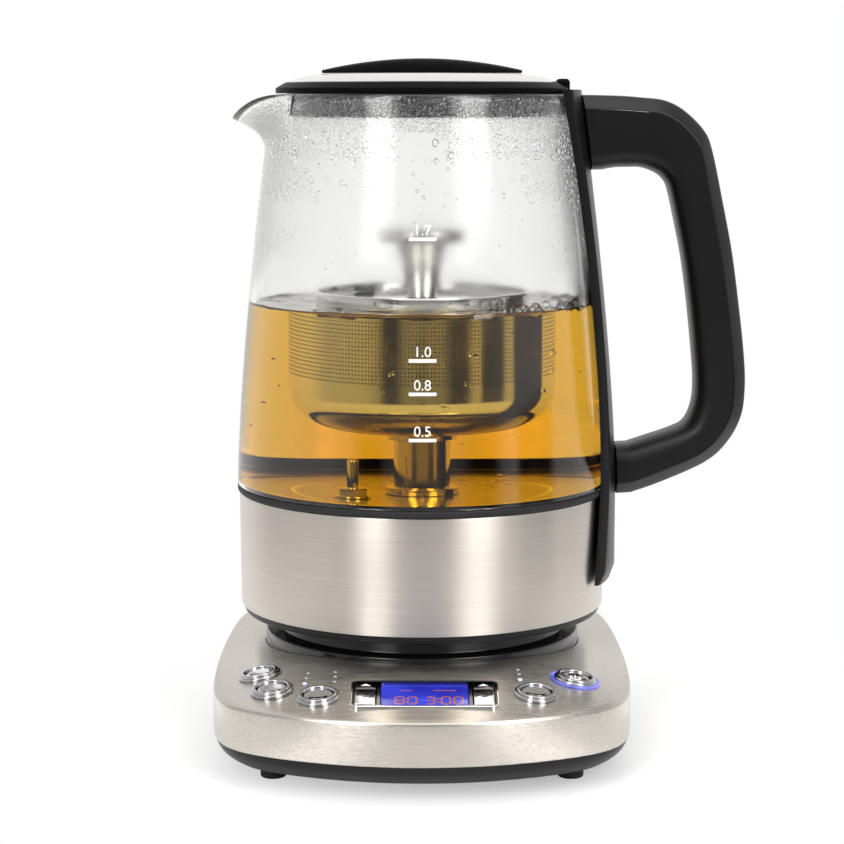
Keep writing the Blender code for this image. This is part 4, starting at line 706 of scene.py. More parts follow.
STEEL = (0.60, 0.56, 0.51)
COVER_STEEL = (0.58, 0.545, 0.50)
FINISHES = {
    "band": brushed_steel("brushed_band", (25.0, 25.0, 4200.0), "Z", 0.25, STEEL, 0.3),
    "cover": brushed_steel("brushed_cover", (25.0, 3400.0, 3400.0), "X", 0.0, COVER_STEEL, 0.24),
    "plate": turned_steel("brushed_plate", (0.70, 0.68, 0.64), 0.2, 2400.0),
    "polished": turned_steel("polished_steel", (0.74, 0.73, 0.71), 0.06),
    "lid_steel": turned_steel("lid_steel", (0.80, 0.79, 0.78), 0.16),
    "chrome": turned_steel("chrome", (0.84, 0.84, 0.85), 0.04, 1500.0),
    "smoked_chrome": turned_steel("smoked_chrome", (0.50, 0.50, 0.52), 0.05, 1500.0),
    "dark_chrome": turned_steel("dark_chrome", (0.12, 0.12, 0.13), 0.08, 1500.0),
    "grey_metal": turned_steel("grey_metal", (0.42, 0.42, 0.43), 0.36),
    "satin": moulded("satin_black_plastic", (0.005, 0.005, 0.0055), 0.34, 0.12, gleam=0.25),
    "gloss": moulded("gloss_black_plastic", (0.006, 0.006, 0.0065), 0.14, 0.02, coat=0.25),
    "matt": moulded("matt_black_plastic", (0.003, 0.003, 0.0033), 0.4, 0.12, gleam=0.03),
    "rubber": moulded("black_rubber", (0.010, 0.010, 0.011), 0.6, 0.2),
    "board": moulded("green_board", (0.03, 0.16, 0.07), 0.5, 0.3),
    "glass": clear("clear_glass", (0.993, 0.997, 0.997), 1.47, 0.0, 0.006),
    "misted": misted_glass(),
    "water": clear("water_drops", (1.0, 1.0, 1.0), 1.33, 0.0, 0.01, 200.0),
    "bubble": clear("gas_bubbles", (1.0, 1.0, 1.0), 1.14, 0.0, 0.01, 200.0),
    "silicone": clear("clear_silicone", (0.75, 0.76, 0.76), 1.42, 0.3, 0.1),
    "smoke": clear("smoke_window", (0.86, 0.88, 0.95), 1.3, 0.02, 0.03),
    "tea": brewed_tea(),
    "display": glowing("blue_display", (0.05, 0.07, 0.80), (0.025, 0.03, 0.52), 1.0, 45.0),
    "digit": glowing("orange_digits", (0.80, 0.24, 0.06), (0.66, 0.17, 0.05), 1.0, 300.0),
    "halo": glowing("lit_halo", (0.25, 0.27, 1.0), (0.10, 0.11, 0.42), 1.0, 90.0),
    "lit": glowing("lit_dot", (0.75, 0.80, 1.0), (0.16, 0.2, 1.0), 7.0, 500.0),
    "pipe": moulded("light_pipe", (0.34, 0.34, 0.36), 0.25, 0.05, coat=0.5, worn=1.3),
    "ink": printed("white_print", (0.93, 0.93, 0.92)),
    "grey_ink": printed("grey_print", (0.16, 0.16, 0.17)),
    "leaf": printed("tea_leaf", (0.10, 0.045, 0.02)),
}


# Mesh helpers


def filleted(corners, steps=FILLET_STEPS):
    """Rounds each corner of a closed outline that carries a third number, its radius."""
    outline = []
    for i, corner in enumerate(corners):
        place = Vector(corner[:2])
        if len(corner) < 3:
            outline.append(place)
            continue
        before = Vector(corners[i - 1][:2]) - place
        after = Vector(corners[(i + 1) % len(corners)][:2]) - place
        reach = corner[2] / math.tan(before.angle(after) / 2)
        reach = min(reach, before.length / 2, after.length / 2)
        start = place + before.normalized() * reach
        end = place + after.normalized() * reach
        for k in range(steps + 1):
            t = k / steps
            outline.append(start * (1 - t) ** 2 + place * (2 * t * (1 - t)) + end * t**2)
    return outline


def turned(outline, steps=TURN_STEPS):
    """A closed outline of (radius, height) points spun round Z. Points on the axis are shared."""
    bm = bmesh.new()
    columns = []
    for reach, height in outline:
        if reach < MERGE:
            columns.append([bm.verts.new((0, 0, height))] * steps)
            continue
        ring = []
        for i in range(steps):
            angle = math.tau * i / steps
            ring.append(bm.verts.new((reach * math.cos(angle), reach * math.sin(angle), height)))
        columns.append(ring)
    skin(bm, columns + columns[:1])
    return bm


def skin(bm, rows):
    """Faces between closed rows of vertices that match one to one."""
    for first, second in zip(rows, rows[1:]):
        for i in range(len(first)):
            j = (i + 1) % len(first)
            corners = list(dict.fromkeys((first[i], first[j], second[j], second[i])))
            if len(corners) > 2:
                bm.faces.new(corners)


def lofted(rings, ends="capped"):
    """Skins rings of points that match one to one. The ends are capped, or joined to each other."""
    bm = bmesh.new()
    rows = [[bm.verts.new(point) for point in ring] for ring in rings]
    if ends == "joined":
        skin(bm, rows + rows[:1])
        return bm
    skin(bm, rows)
    bm.faces.new(rows[0])
    bm.faces.new(rows[-1])
    return bm


def plate_ring(width, depth, z, corner, centre=(0, 0)):
    """The outline of a plate with round corners, at one height."""
    ring = []
    corner = max(corner, MERGE)
    for quarter, (side_x, side_y) in enumerate(((1, 1), (-1, 1), (-1, -1), (1, -1))):
        middle_x = centre[0] + side_x * (width / 2 - corner)
        middle_y = centre[1] + side_y * (depth / 2 - corner)
        for i in range(ROUND_STEPS + 1):
            angle = math.radians(90 * quarter + 90 * i / ROUND_STEPS)
            ring.append((middle_x + corner * math.cos(angle), middle_y + corner * math.sin(angle), z))
    return ring


def rounded_block(width, depth, low_z, high_z, corner, ease=0.0, centre=(0, 0)):
    """A plate with round corners, whose upper edge is eased over."""
    rings = [plate_ring(width, depth, low_z, corner, centre)]
    for k in range(ROUND_STEPS + 1 if ease else 1):
        angle = math.radians(90) * k / ROUND_STEPS
        draw = 2 * ease * (1 - math.cos(angle))
        z = high_z - ease * (1 - math.sin(angle))
        rings.append(plate_ring(width - draw, depth - draw, z, corner - draw / 2, centre))
    return lofted(rings)


def cylinder(radius, low_z, high_z, steps=SMALL_TURN_STEPS):
    return turned([(0, low_z), (radius, low_z), (radius, high_z), (0, high_z)], steps)


def moved(bm, offset):
    bmesh.ops.translate(bm, verts=bm.verts, vec=offset)
    return bm


def joined(parts):
    """Several separate closed meshes in one."""
    whole = bmesh.new()
    for part in parts:
        mesh = bpy.data.meshes.new("joining")
        part.to_mesh(mesh)
        part.free()
        whole.from_mesh(mesh)
        bpy.data.meshes.remove(mesh)
    return whole


def bare_piece(name, bm, place=None):
    bmesh.ops.remove_doubles(bm, verts=bm.verts, dist=MERGE)
    bmesh.ops.recalc_face_normals(bm, faces=bm.faces)
    mesh = bpy.data.meshes.new(name)
    bm.to_mesh(mesh)
    bm.free()
    piece = bpy.data.objects.new(name, mesh)
    bpy.context.scene.collection.objects.link(piece)
    piece.matrix_world = place or Matrix.Translation(AXIS)
    return piece


def finished(piece, finish, body, nodes=()):
    """Shades a piece, gives it its material and makes it ride on its body."""
    piece.data.shade_smooth()
    piece.data.set_sharp_from_angle(angle=SHARP_ANGLE)
    piece.data.materials.append(FINISHES[finish])
    bpy.context.view_layer.update()
    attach(piece, body)
    if nodes:
        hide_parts(*nodes)
    return piece


def add_piece(name, bm, finish, body, nodes=(), place=None):
    return finished(bare_piece(name, bm, place), finish, body, nodes)


def add_turned(name, outline, finish, body, node, steps=TURN_STEPS, place=None):
    """A piece spun from an outline with round corners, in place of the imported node."""
    add_piece(name, turned(filleted(outline), steps), finish, body, [node], place)


def combine(piece, cutters, operation="DIFFERENCE"):
    """Works the cutters into the piece's mesh for good, and clears them away."""
    for cutter in cutters:
        modifier = piece.modifiers.new(cutter.name, "BOOLEAN")
        modifier.operation = operation
        modifier.object = cutter
        modifier.solver = "EXACT"
    bpy.context.view_layer.update()
    shape = bpy.data.meshes.new_from_object(piece.evaluated_get(bpy.context.evaluated_depsgraph_get()))
    piece.modifiers.clear()
    piece.data = shape
    for cutter in cutters:
        bpy.data.objects.remove(cutter, do_unlink=True)


def mix(first, second, share):
    return first + (second - first) * share


def spans(node):
    """A round node's radius about its own axis, and its lowest and highest z."""
    low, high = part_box(node)
    return (high.y - low.y) / 2, low.z, high.z


# Base


def edge_distance(direction_x, direction_y):
    """How far the base's edge is from its middle, along a direction in plan."""
    across = abs(direction_x)
    along = abs(direction_y)
    end_bow = FRONT_BOW if direction_y < 0 else BACK_BOW
    side_root = math.sqrt(across**2 + 4 * SIDE_BOW * BASE_HALF_WIDTH * (along / BASE_HALF_DEPTH) ** 2)
    end_root = math.sqrt(along**2 + 4 * end_bow * BASE_HALF_DEPTH * (across / BASE_HALF_WIDTH) ** 2)
    to_side = 2 * BASE_HALF_WIDTH / (across + side_root)
    to_end = 2 * BASE_HALF_DEPTH / (along + end_root)
    nearest = min(to_side, to_end)
    blend = (nearest / to_side) ** CORNER_SHARPNESS + (nearest / to_end) ** CORNER_SHARPNESS
    return nearest * blend ** (-1 / CORNER_SHARPNESS)


def base_outline(z, inset=0.0, share=1.0):
    """The base's plan outline at a height, drawn in square to its edge or shrunk about its middle."""
    points = []
    for i in range(OUTLINE_STEPS):
        angle = math.tau * i / OUTLINE_STEPS
        reach = edge_distance(math.cos(angle), math.sin(angle))
        points.append(Vector((math.cos(angle), math.sin(angle), 0)) * reach)
    ring = []
    for i, point in enumerate(points):
        along = points[(i + 1) % OUTLINE_STEPS] - points[i - 1]
        outward = Vector((along.y, -along.x, 0)).normalized()
        place = (point - outward * inset) * share
        ring.append(Vector((place.x, place.y + BASE_MIDDLE_Y, z)))
    return ring


def dome_height(share):
    """Height of the cover's top where the outline is shrunk to that share."""
    out = max(0.0, (share - DOME_FLAT_SHARE) / (1 - DOME_FLAT_SHARE))
    return COVER_EDGE_Z + DOME_RISE * (1 - out**DOME_POWER)


def cover_top(x, y):
    """Height of the cover's top over a point of the plan."""
    offset = Vector((x, y - BASE_MIDDLE_Y))
    direction = offset.normalized()
    return dome_height(offset.length / edge_distance(direction.x, direction.y))


def cover_normal(x, y):
    slope_x = (cover_top(x + GAP, y) - cover_top(x - GAP, y)) / (2 * GAP)
    slope_y = (cover_top(x, y + GAP) - cover_top(x, y - GAP)) / (2 * GAP)
    return Vector((-slope_x, -slope_y, 1)).normalized()


def on_cover(shares):
    """A frame that stands square on the cover's top, at shares of its half width and front."""
    x = shares[0] * BASE_HALF_WIDTH
    y = -shares[1] * BASE_FRONT
    turn = Vector((0, 0, 1)).rotation_difference(cover_normal(x, y))
    return Matrix.Translation((x, y, cover_top(x, y))) @ turn.to_matrix().to_4x4()


def panel_frame(shares):
    return Matrix.Translation(AXIS) @ on_cover(shares)


def gland_frame():
    turn = Matrix.Rotation(math.radians(-90), 4, "X")
    return Matrix.Translation(AXIS + Vector((0, BASE_BACK, COVER_FOOT_Z + GLAND_RISE))) @ turn


def screw_places():
    """Where the tray's screws stand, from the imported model."""
    places = []
    for number in range(1, 5):
        low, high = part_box(f"tray_screw_{number}")
        places.append(((low + high) / 2 - AXIS, high.z))
    return places


def make_base_cover():
    """The steel shell, with its eased edge, its holes and its four screw pillars."""
    outside = [base_outline(COVER_FOOT_Z, COVER_WALL / 4), base_outline(COVER_FOOT_Z + COVER_WALL / 4)]
    for share in SKIRT_ROW_SHARES:
        outside.append(base_outline(mix(COVER_FOOT_Z, COVER_EDGE_Z, share)))
    for k in range(ROUND_STEPS + 1):
        angle = COVER_EDGE_TURN * k / ROUND_STEPS
        inset = COVER_EDGE_ROUND * (1 - math.cos(angle))
        z = COVER_EDGE_Z - COVER_EDGE_ROUND * (1 - math.sin(angle))
        outside.append(base_outline(z, inset))
    shares = [mix(DOME_EDGE_SHARE, DOME_FLAT_SHARE, k / DOME_RINGS) for k in range(DOME_RINGS + 1)]
    outside += [base_outline(dome_height(share), share=share) for share in shares]
    inside = [base_outline(z, COVER_WALL) for z in (COVER_FOOT_Z, COVER_EDGE_Z - COVER_EDGE_ROUND)]
    inside += [base_outline(dome_height(share) - COVER_WALL, share=share) for share in shares[3::3]]
    cover = bare_piece("steel_cover", lofted(inside[::-1] + outside))
    pillars = []
    cutters = []
    for place, tip in screw_places():
        low = COVER_FOOT_Z - TRAY_WALL
        pillar = cylinder(BOSS_RADIUS, low, cover_top(place.x, place.y) - COVER_WALL / 2)
        pillars.append(bare_piece("pillar", moved(pillar, (place.x, place.y, 0))))
        bore = cylinder(BOSS_RADIUS / 2, 0, tip + GAP)
        cutters.append(bare_piece("bore", moved(bore, (place.x, place.y, 0))))
    combine(cover, pillars, "UNION")
    turret_radius, _, turret_top = spans("turret_ring")
    hole = cylinder(turret_radius + GAP, COVER_FOOT_Z, turret_top, TURN_STEPS)
    cutters.append(bare_piece("turret_hole", hole))
    hole = rounded_block(DISPLAY_WIDTH, DISPLAY_DEPTH, -DISPLAY_HEIGHT - OVERRUN, OVERRUN, DISPLAY_CORNER)
    cutters.append(bare_piece("display_hole", hole, panel_frame(DISPLAY_PLACE_SHARES)))
    for shares in BUTTON_PLACE_SHARES.values():
        hole = cylinder(RING_SKIRT_RADIUS + GAP, -OVERRUN, OVERRUN)
        cutters.append(bare_piece("button_hole", hole, panel_frame(shares)))
    for places in DOT_PLACE_SHARES.values():
        for shares in places:
            hole = cylinder(DOT_RADIUS, -OVERRUN, OVERRUN)
            cutters.append(bare_piece("dot_hole", hole, panel_frame(shares)))
    inlet = cylinder(GLAND_RADIUS + GAP, -GLAND_LENGTH, OVERRUN)
    cutters.append(bare_piece("gland_hole", inlet, gland_frame()))
    combine(cover, cutters)
    finished(cover, "cover", "base", ["base_cover"])
    ease_dome(cover.data)


def ease_dome(mesh):
    """Points the dome's shading along its true slope, so that the cut holes leave no dents in it."""
    normals = [Vector((0, 0, 0))] * len(mesh.loops)
    for face in mesh.polygons:
        middle = face.center
        if face.normal.z < 0.9 or middle.z < COVER_EDGE_Z + GAP:
            continue
        if abs(middle.z - cover_top(middle.x, middle.y)) > GAP:
            continue
        for loop in face.loop_indices:
            corner = mesh.vertices[mesh.loops[loop].vertex_index].co
            normals[loop] = cover_normal(corner.x, corner.y)
    mesh.normals_split_custom_set(normals)


def make_base_tray():
    """The black tub under the cover: a hollow curve in from the skirt to a flat floor."""
    _, floor_z, top_z = spans("base_tray")
    flange_z = COVER_FOOT_Z - GAP
    lip = COVER_WALL / 2
    upstand = COVER_WALL + GAP
    rings = [base_outline(floor_z, TRAY_FOOT_INSET + TRAY_ROUND)]
    for k in range(TRAY_RINGS + 1):
        share = k / TRAY_RINGS
        inset = mix(lip, TRAY_FOOT_INSET, (1 - share) ** 2)
        rings.append(base_outline(mix(floor_z + GAP, flange_z, share), inset))
    rings += [
        base_outline(flange_z, upstand),
        base_outline(top_z, upstand),
        base_outline(top_z, upstand + TRAY_WALL),
        base_outline(floor_z + TRAY_WALL, TRAY_FOOT_INSET + TRAY_WALL),
    ]
    tray = bare_piece("base_tub", lofted(rings))
    holes = []
    for place, _ in screw_places():
        hole = cylinder(BOSS_RADIUS / 2, 0, floor_z + TRAY_WALL + GAP)
        holes.append(bare_piece("screw_hole", moved(hole, (place.x, place.y, 0))))
    combine(tray, holes)
    finished(tray, "satin", "base", ["base_tray"])


def make_feet():
    for name in ("foot_front_left", "foot_front_right", "foot_back_left", "foot_back_right"):
        low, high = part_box(name)
        outline = [
            (0, FOOT_GROOVE),
            (FOOT_RADIUS / 2, FOOT_GROOVE),
            (FOOT_RADIUS / 2 + FOOT_GROOVE, 0, FOOT_GROOVE / 2),
            (FOOT_RADIUS, 0, FOOT_ROUND),
            (FOOT_RADIUS, high.z),
            (0, high.z),
        ]
        middle = (low + high) / 2
        place = Matrix.Translation((middle.x, middle.y, 0))
        add_turned(f"rubber_{name}", outline, "rubber", "base", name, SMALL_TURN_STEPS, place)


def make_turret():
    radius, foot_z, top_z = spans("turret_ring")
    ledge_z = COVER_HIGH.z + TURRET_LEDGE_PROUD
    rim = radius - TURRET_LEDGE_WIDTH
    rim_in = rim - TURRET_RIM_WIDTH
    floor_z = top_z - TURRET_WELL_DEPTH
    hole = spans("power_plug")[0] + GAP
    outline = [
        (radius, foot_z),
        (radius, ledge_z, TURRET_ROUND),
        (rim + TURRET_WALL / 2, ledge_z, TURRET_ROUND),
        (rim, top_z, TURRET_ROUND),
        (rim_in, top_z, TURRET_ROUND),
        (rim_in - TURRET_ROUND, floor_z, TURRET_ROUND),
        (hole, floor_z),
        (hole, floor_z - TURRET_WALL),
        (rim_in, floor_z - TURRET_WALL),
        (rim_in + TURRET_WALL / 2, ledge_z - TURRET_WALL),
        (radius - TURRET_WALL, ledge_z - TURRET_WALL),
        (radius - TURRET_WALL, foot_z),
    ]
    add_turned("turret", outline, "gloss", "base", "turret_ring")
    flange, foot_z, top_z = spans("power_plug")
    step_z = top_z - PLUG_TIP_HEIGHT
    plug = [(PLUG_BORE, foot_z), (flange, foot_z), (flange, floor_z), (PLUG_RADIUS, floor_z)]
    groove_r = PLUG_RADIUS - PLUG_GROOVE
    for share in PLUG_GROOVE_SHARES:
        low_z = mix(floor_z, step_z, share)
        high_z = low_z + PLUG_GROOVE
        plug += [(PLUG_RADIUS, low_z), (groove_r, low_z), (groove_r, high_z), (PLUG_RADIUS, high_z)]
    plug += [
        (PLUG_RADIUS, step_z, PLUG_GROOVE),
        (PLUG_TIP_RADIUS, step_z),
        (PLUG_TIP_RADIUS, top_z, PLUG_GROOVE),
        (PLUG_BORE, top_z),
    ]
    add_turned("plug", plug, "satin", "base", "power_plug", SMALL_TURN_STEPS)


def make_buttons():
    """Stepped chrome rings round dished mirror caps, and the light round the power button."""
    ring = [
        (RING_SKIRT_RADIUS, -RING_SKIRT),
        (RING_SKIRT_RADIUS, GAP / 3),
        (RING_RADIUS, GAP / 3),
        (RING_RADIUS, RING_STEP_HEIGHT, RING_ROUND),
        (RING_STEP_RADIUS, RING_STEP_HEIGHT, RING_ROUND / 3),
        (RING_STEP_RADIUS, RING_HEIGHT, RING_ROUND),
        (RING_BORE, RING_HEIGHT, RING_ROUND),
        (RING_BORE, -RING_SKIRT),
    ]
    dish_out = CAP_RADIUS - CAP_LIP
    cap = [(0, -CAP_DEPTH), (CAP_RADIUS, -CAP_DEPTH)]
    cap += [(CAP_RADIUS, CAP_HEIGHT, CAP_ROUND), (dish_out, CAP_HEIGHT)]
    for k in range(1, FILLET_STEPS):
        share = 1 - k / FILLET_STEPS
        cap.append((dish_out * share, CAP_HEIGHT - CAP_DISH * (1 - share**2)))
    cap.append((0, CAP_HEIGHT - CAP_DISH))
    for name in BUTTONS:
        place = panel_frame(BUTTON_PLACE_SHARES[name])
        node = f"{name}_button"
        add_turned(f"{name}_ring", ring, "smoked_chrome", "base", f"{node}_ring", SMALL_TURN_STEPS, place)
        add_turned(f"{name}_cap", cap, "chrome", node, node, SMALL_TURN_STEPS, place)
    place = panel_frame(BUTTON_PLACE_SHARES["power"])
    halo_in = RING_RADIUS + GAP / 2
    halo = [
        (halo_in, GAP / 3),
        (halo_in + HALO_WIDTH, GAP / 3),
        (halo_in + HALO_WIDTH, HALO_HEIGHT, HALO_HEIGHT / 2),
        (halo_in, HALO_HEIGHT, GAP),
    ]
    add_turned("halo", halo, "halo", "base", "power_halo", SMALL_TURN_STEPS, place)
    add_piece("power_mark", power_symbol(), "ink", "power_button", (), place)


def power_symbol():
    """An open ring with an upright bar, the usual sign for on and off."""
    steps = 2 * SMALL_TURN_STEPS // 3
    low_z = CAP_HEIGHT - CAP_DISH - MARK_HEIGHT
    high_z = CAP_HEIGHT - CAP_DISH / 2 + MARK_HEIGHT
    rings = []
    for i in range(steps + 1):
        angle = math.radians(SYMBOL_START + SYMBOL_SWEEP * i / steps)
        along = Vector((math.cos(angle), math.sin(angle), 0))
        inner = along * (SYMBOL_RADIUS - SYMBOL_WIDTH)
        outer = along * SYMBOL_RADIUS
        ends = ((inner, low_z), (outer, low_z), (outer, high_z), (inner, high_z))
        rings.append([(end.x, end.y, z) for end, z in ends])
    centre = (0, SYMBOL_RADIUS * SYMBOL_BAR_SHARE)
    bar = rounded_block(SYMBOL_WIDTH, SYMBOL_RADIUS, low_z, high_z, MERGE, 0.0, centre)
    return joined([lofted(rings), bar])


def make_indicators():
    """Each column of dots is one moulding: domed pins through the cover, on a bar below it."""
    for side, places in DOT_PLACE_SHARES.items():
        bar_low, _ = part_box(f"indicator_{side}")
        frames = [on_cover(shares) for shares in places]
        spots = [dot.translation for dot in frames]
        middle_x = sum(spot.x for spot in spots) / len(spots)
        front_y = min(spot.y for spot in spots) - DOT_BAR_HALF
        back_y = max(spot.y for spot in spots) + DOT_BAR_HALF
        bar_centre = (middle_x, (front_y + back_y) / 2)
        bar_top = bar_low.z + DOT_BAR_THICKNESS
        bar_size = (2 * DOT_BAR_HALF, back_y - front_y, bar_low.z, bar_top)
        parts = [rounded_block(*bar_size, DOT_RADIUS, 0.0, bar_centre)]
        lit = []
        for number, spot in enumerate(spots):
            top = spot.z + DOT_PROUD
            foot_z = bar_top - GAP
            outline = [(0, foot_z), (DOT_RADIUS, foot_z), (DOT_RADIUS, top, DOT_RADIUS / 2), (0, top)]
            pin = moved(turned(filleted(outline), SMALL_TURN_STEPS // 2), (spot.x, spot.y, 0))
            if (side, number) in LIT_DOTS:
                lit.append(pin)
            else:
                parts.append(pin)
        add_piece(f"dots_{side}", joined(parts), "pipe", "base", [f"indicator_{side}"])
        if lit:
            add_piece(f"lit_dot_{side}", joined(lit), "lit", "base")


def make_display():
    """Bezel with its bright trim, window, lit panel with plain digits, and the four keys."""
    place = panel_frame(DISPLAY_PLACE_SHARES)
    top = DISPLAY_PROUD
    low = top - DISPLAY_HEIGHT
    inner_width = DISPLAY_WIDTH - 2 * TRIM_WIDTH
    inner_depth = DISPLAY_DEPTH - 2 * TRIM_WIDTH
    body = rounded_block(inner_width, inner_depth, low, top, DISPLAY_CORNER - TRIM_WIDTH, DISPLAY_EASE)
    bezel = bare_piece("bezel", body, place)
    hole_depth = DISPLAY_DEPTH - 2 * BEZEL_WALL
    key_span = (DISPLAY_WIDTH - WINDOW_WIDTH) / 2 - 2 * BEZEL_WALL
    key_x = WINDOW_WIDTH / 2 + BEZEL_WALL + key_span / 2
    holes = []
    for x, width in ((0, WINDOW_WIDTH), (-key_x, key_span), (key_x, key_span)):
        hole = rounded_block(width, hole_depth, low - OVERRUN, OVERRUN, BEZEL_WALL, 0.0, (x, 0))
        holes.append(bare_piece("bezel_hole", hole, place))
    combine(bezel, holes)
    finished(bezel, "dark_chrome", "base", ["display_bezel"])
    outer = [plate_ring(DISPLAY_WIDTH, DISPLAY_DEPTH, z, DISPLAY_CORNER) for z in (low, top)]
    ease = TRIM_WIDTH / 3
    crest = top + TRIM_PROUD
    outer.append(plate_ring(DISPLAY_WIDTH - 2 * ease, DISPLAY_DEPTH - 2 * ease, crest, DISPLAY_CORNER - ease))
    inner = [plate_ring(inner_width, inner_depth, z, DISPLAY_CORNER - TRIM_WIDTH) for z in (crest, low)]
    add_piece("display_trim", lofted(outer + inner, "joined"), "chrome", "base", (), place)
    pane_width = WINDOW_WIDTH - 2 * GAP
    pane_depth = hole_depth - 2 * GAP
    pane_low = top - GAP - WINDOW_THICKNESS
    pane = rounded_block(pane_width, pane_depth, pane_low, top - GAP, BEZEL_WALL, DISPLAY_EASE)
    add_piece("window", pane, "smoke", "base", ["display_window"], place)
    panel_top = pane_low - GAP
    panel = rounded_block(pane_width, pane_depth, panel_top - PANEL_THICKNESS, panel_top, BEZEL_WALL)
    add_piece("panel", panel, "display", "base", ["display_panel"], place)
    add_piece("digits", digits(panel_top, pane_depth), "digit", "base", (), place)
    key_width = key_span - 2 * GAP
    key_top = top + KEY_PROUD
    up_depth = hole_depth * KEY_UP_SHARE - 2 * GAP
    down_depth = hole_depth * (1 - KEY_UP_SHARE) - 2 * GAP
    up_y = hole_depth / 2 - GAP - up_depth / 2
    down_y = -hole_depth / 2 + GAP + down_depth / 2
    rows = (
        ("up", up_y, up_depth, "dark_chrome", "ink"),
        ("down", down_y, down_depth, "chrome", "grey_ink"),
    )
    for side, name in ((-1, "temperature"), (1, "time")):
        for way, y, depth, finish, ink in rows:
            node = f"{name}_{way}_key"
            key_place = place @ Matrix.Translation((side * key_x, y, 0))
            key = rounded_block(key_width, depth, key_top - KEY_HEIGHT, key_top, KEY_ROUND, KEY_EASE)
            add_piece(f"{name}_{way}_cap", key, finish, node, [node], key_place)
            mark = arrow(key_top, 1 if way == "up" else -1)
            add_piece(f"{name}_{way}_mark", mark, ink, node, (), key_place)


def arrow(z, way):
    """A small triangle that points up or down the panel."""
    half = KEY_MARK
    rings = []
    for height in (z - MARK_HEIGHT, z + MARK_HEIGHT):
        corners = ((-half, -way), (half, -way), (0, way))
        rings.append([(x, y * half / 2, height) for x, y in corners])
    return lofted(rings)


def digits(panel_top, depth):
    """A temperature and a time in seven-segment digits, with a short bar over each."""
    low = panel_top - MARK_HEIGHT
    high = panel_top + MARK_HEIGHT
    row_y = depth * DIGIT_ROW_SHARE
    parts = []
    shift = DIGIT_SHIFT_SHARE * DIGIT_PITCH
    for character, column in DIGIT_COLUMNS:
        x = column * DIGIT_PITCH + shift
        for segment in DIGIT_SEGMENTS[character]:
            side, level, flat = SEGMENTS[segment]
            centre = (x + side * DIGIT_WIDTH / 2, row_y + level * DIGIT_HEIGHT / 2)
            length = DIGIT_WIDTH - DIGIT_STROKE if flat else DIGIT_HEIGHT / 2 - DIGIT_STROKE
            size = (length, DIGIT_STROKE) if flat else (DIGIT_STROKE, length)
            parts.append(rounded_block(*size, low, high, DIGIT_STROKE / 3, 0.0, centre))
    colon_x = COLON_COLUMN * DIGIT_PITCH + shift
    for level in (-0.25, 0.25):
        centre = (colon_x, row_y + level * DIGIT_HEIGHT)
        parts.append(rounded_block(DIGIT_STROKE, DIGIT_STROKE, low, high, DIGIT_STROKE / 3, 0.0, centre))
    for column, columns in LABEL_COLUMNS:
        centre = (column * DIGIT_PITCH + shift, depth * LABEL_ROW_SHARE)
        size = (columns * DIGIT_PITCH, LABEL_STROKE)
        parts.append(rounded_block(*size, low, high, LABEL_STROKE / 3, 0.0, centre))
    return joined(parts)


def make_gland():
    flange = GLAND_RADIUS + GLAND_FLANGE
    outline = [
        (GLAND_BORE, GLAND_PROUD - GLAND_LENGTH),
        (GLAND_RADIUS, GLAND_PROUD - GLAND_LENGTH),
        (GLAND_RADIUS, GAP / 3),
        (flange, GAP / 3),
        (flange, GLAND_PROUD - GAP, GAP),
        (GLAND_RADIUS, GLAND_PROUD, GAP),
        (GLAND_BORE, GLAND_PROUD, GAP),
    ]
    add_turned("gland", outline, "rubber", "base", "cord_gland", SMALL_TURN_STEPS, gland_frame())


# Kettle


def glass_radius(z):
    """The outside of the glass at a height, spout left aside."""
    share = max(0.0, min(1.0, (z - GLASS_LOW.z) / (GLASS_HIGH.z - GLASS_LOW.z)))
    return GLASS_FOOT_RADIUS - GLASS_TAPER * share**GLASS_TAPER_POWER


def with_spout(radius, angle, z):
    """A point of the glass, drawn out and down near the rim into the pouring lip at -X."""
    off = abs(math.remainder(angle - math.pi, math.tau)) / SPOUT_HALF_ANGLE
    rise = max(0.0, (z - GLASS_HIGH.z + SPOUT_HEIGHT) / SPOUT_HEIGHT)
    if off < 1 and rise > 0:
        across = 1 - off**2
        radius += SPOUT_REACH * across**SPOUT_REACH_ACROSS_POWER * rise**SPOUT_REACH_UP_POWER
        z -= SPOUT_DROOP * across**SPOUT_DROOP_ACROSS_POWER * rise**SPOUT_DROOP_UP_POWER
    return Vector((radius * math.cos(angle), radius * math.sin(angle), z))


def on_inner_wall(angle, z):
    return with_spout(glass_radius(z) - GLASS_WALL, angle, z)


def make_glass():
    """The glass body, with a fire-rounded lip. Its inner face is misted towards the lid."""
    foot = GLASS_LOW.z
    lip = GLASS_WALL / 2
    spout_foot = GLASS_HIGH.z - SPOUT_HEIGHT
    heights = [mix(foot, spout_foot, i / GLASS_ROWS) for i in range(GLASS_ROWS)]
    heights += [mix(spout_foot, GLASS_HIGH.z - lip, i / SPOUT_ROWS) for i in range(SPOUT_ROWS + 1)]
    section = [(glass_radius(z), z) for z in heights]
    top_radius = glass_radius(GLASS_HIGH.z) - lip
    for k in range(1, 2 * ROUND_STEPS):
        angle = math.pi * k / (2 * ROUND_STEPS)
        section.append((top_radius + lip * math.cos(angle), GLASS_HIGH.z - lip + lip * math.sin(angle)))
    outside_count = len(section)
    section += [(glass_radius(z) - GLASS_WALL, z) for z in heights[::-1]]
    angles = [math.tau * i / GLASS_STEPS for i in range(GLASS_STEPS)]
    rings = [[with_spout(radius, angle, z) for angle in angles] for radius, z in section]
    glass = add_piece("glass_body", lofted(rings, "joined"), "glass", "jug", ["jug_glass"])
    glass.data.materials.append(FINISHES["misted"])
    for face in glass.data.polygons:
        ring = face.index // GLASS_STEPS
        if outside_count <= ring < len(section) - 1:
            face.material_index = 1


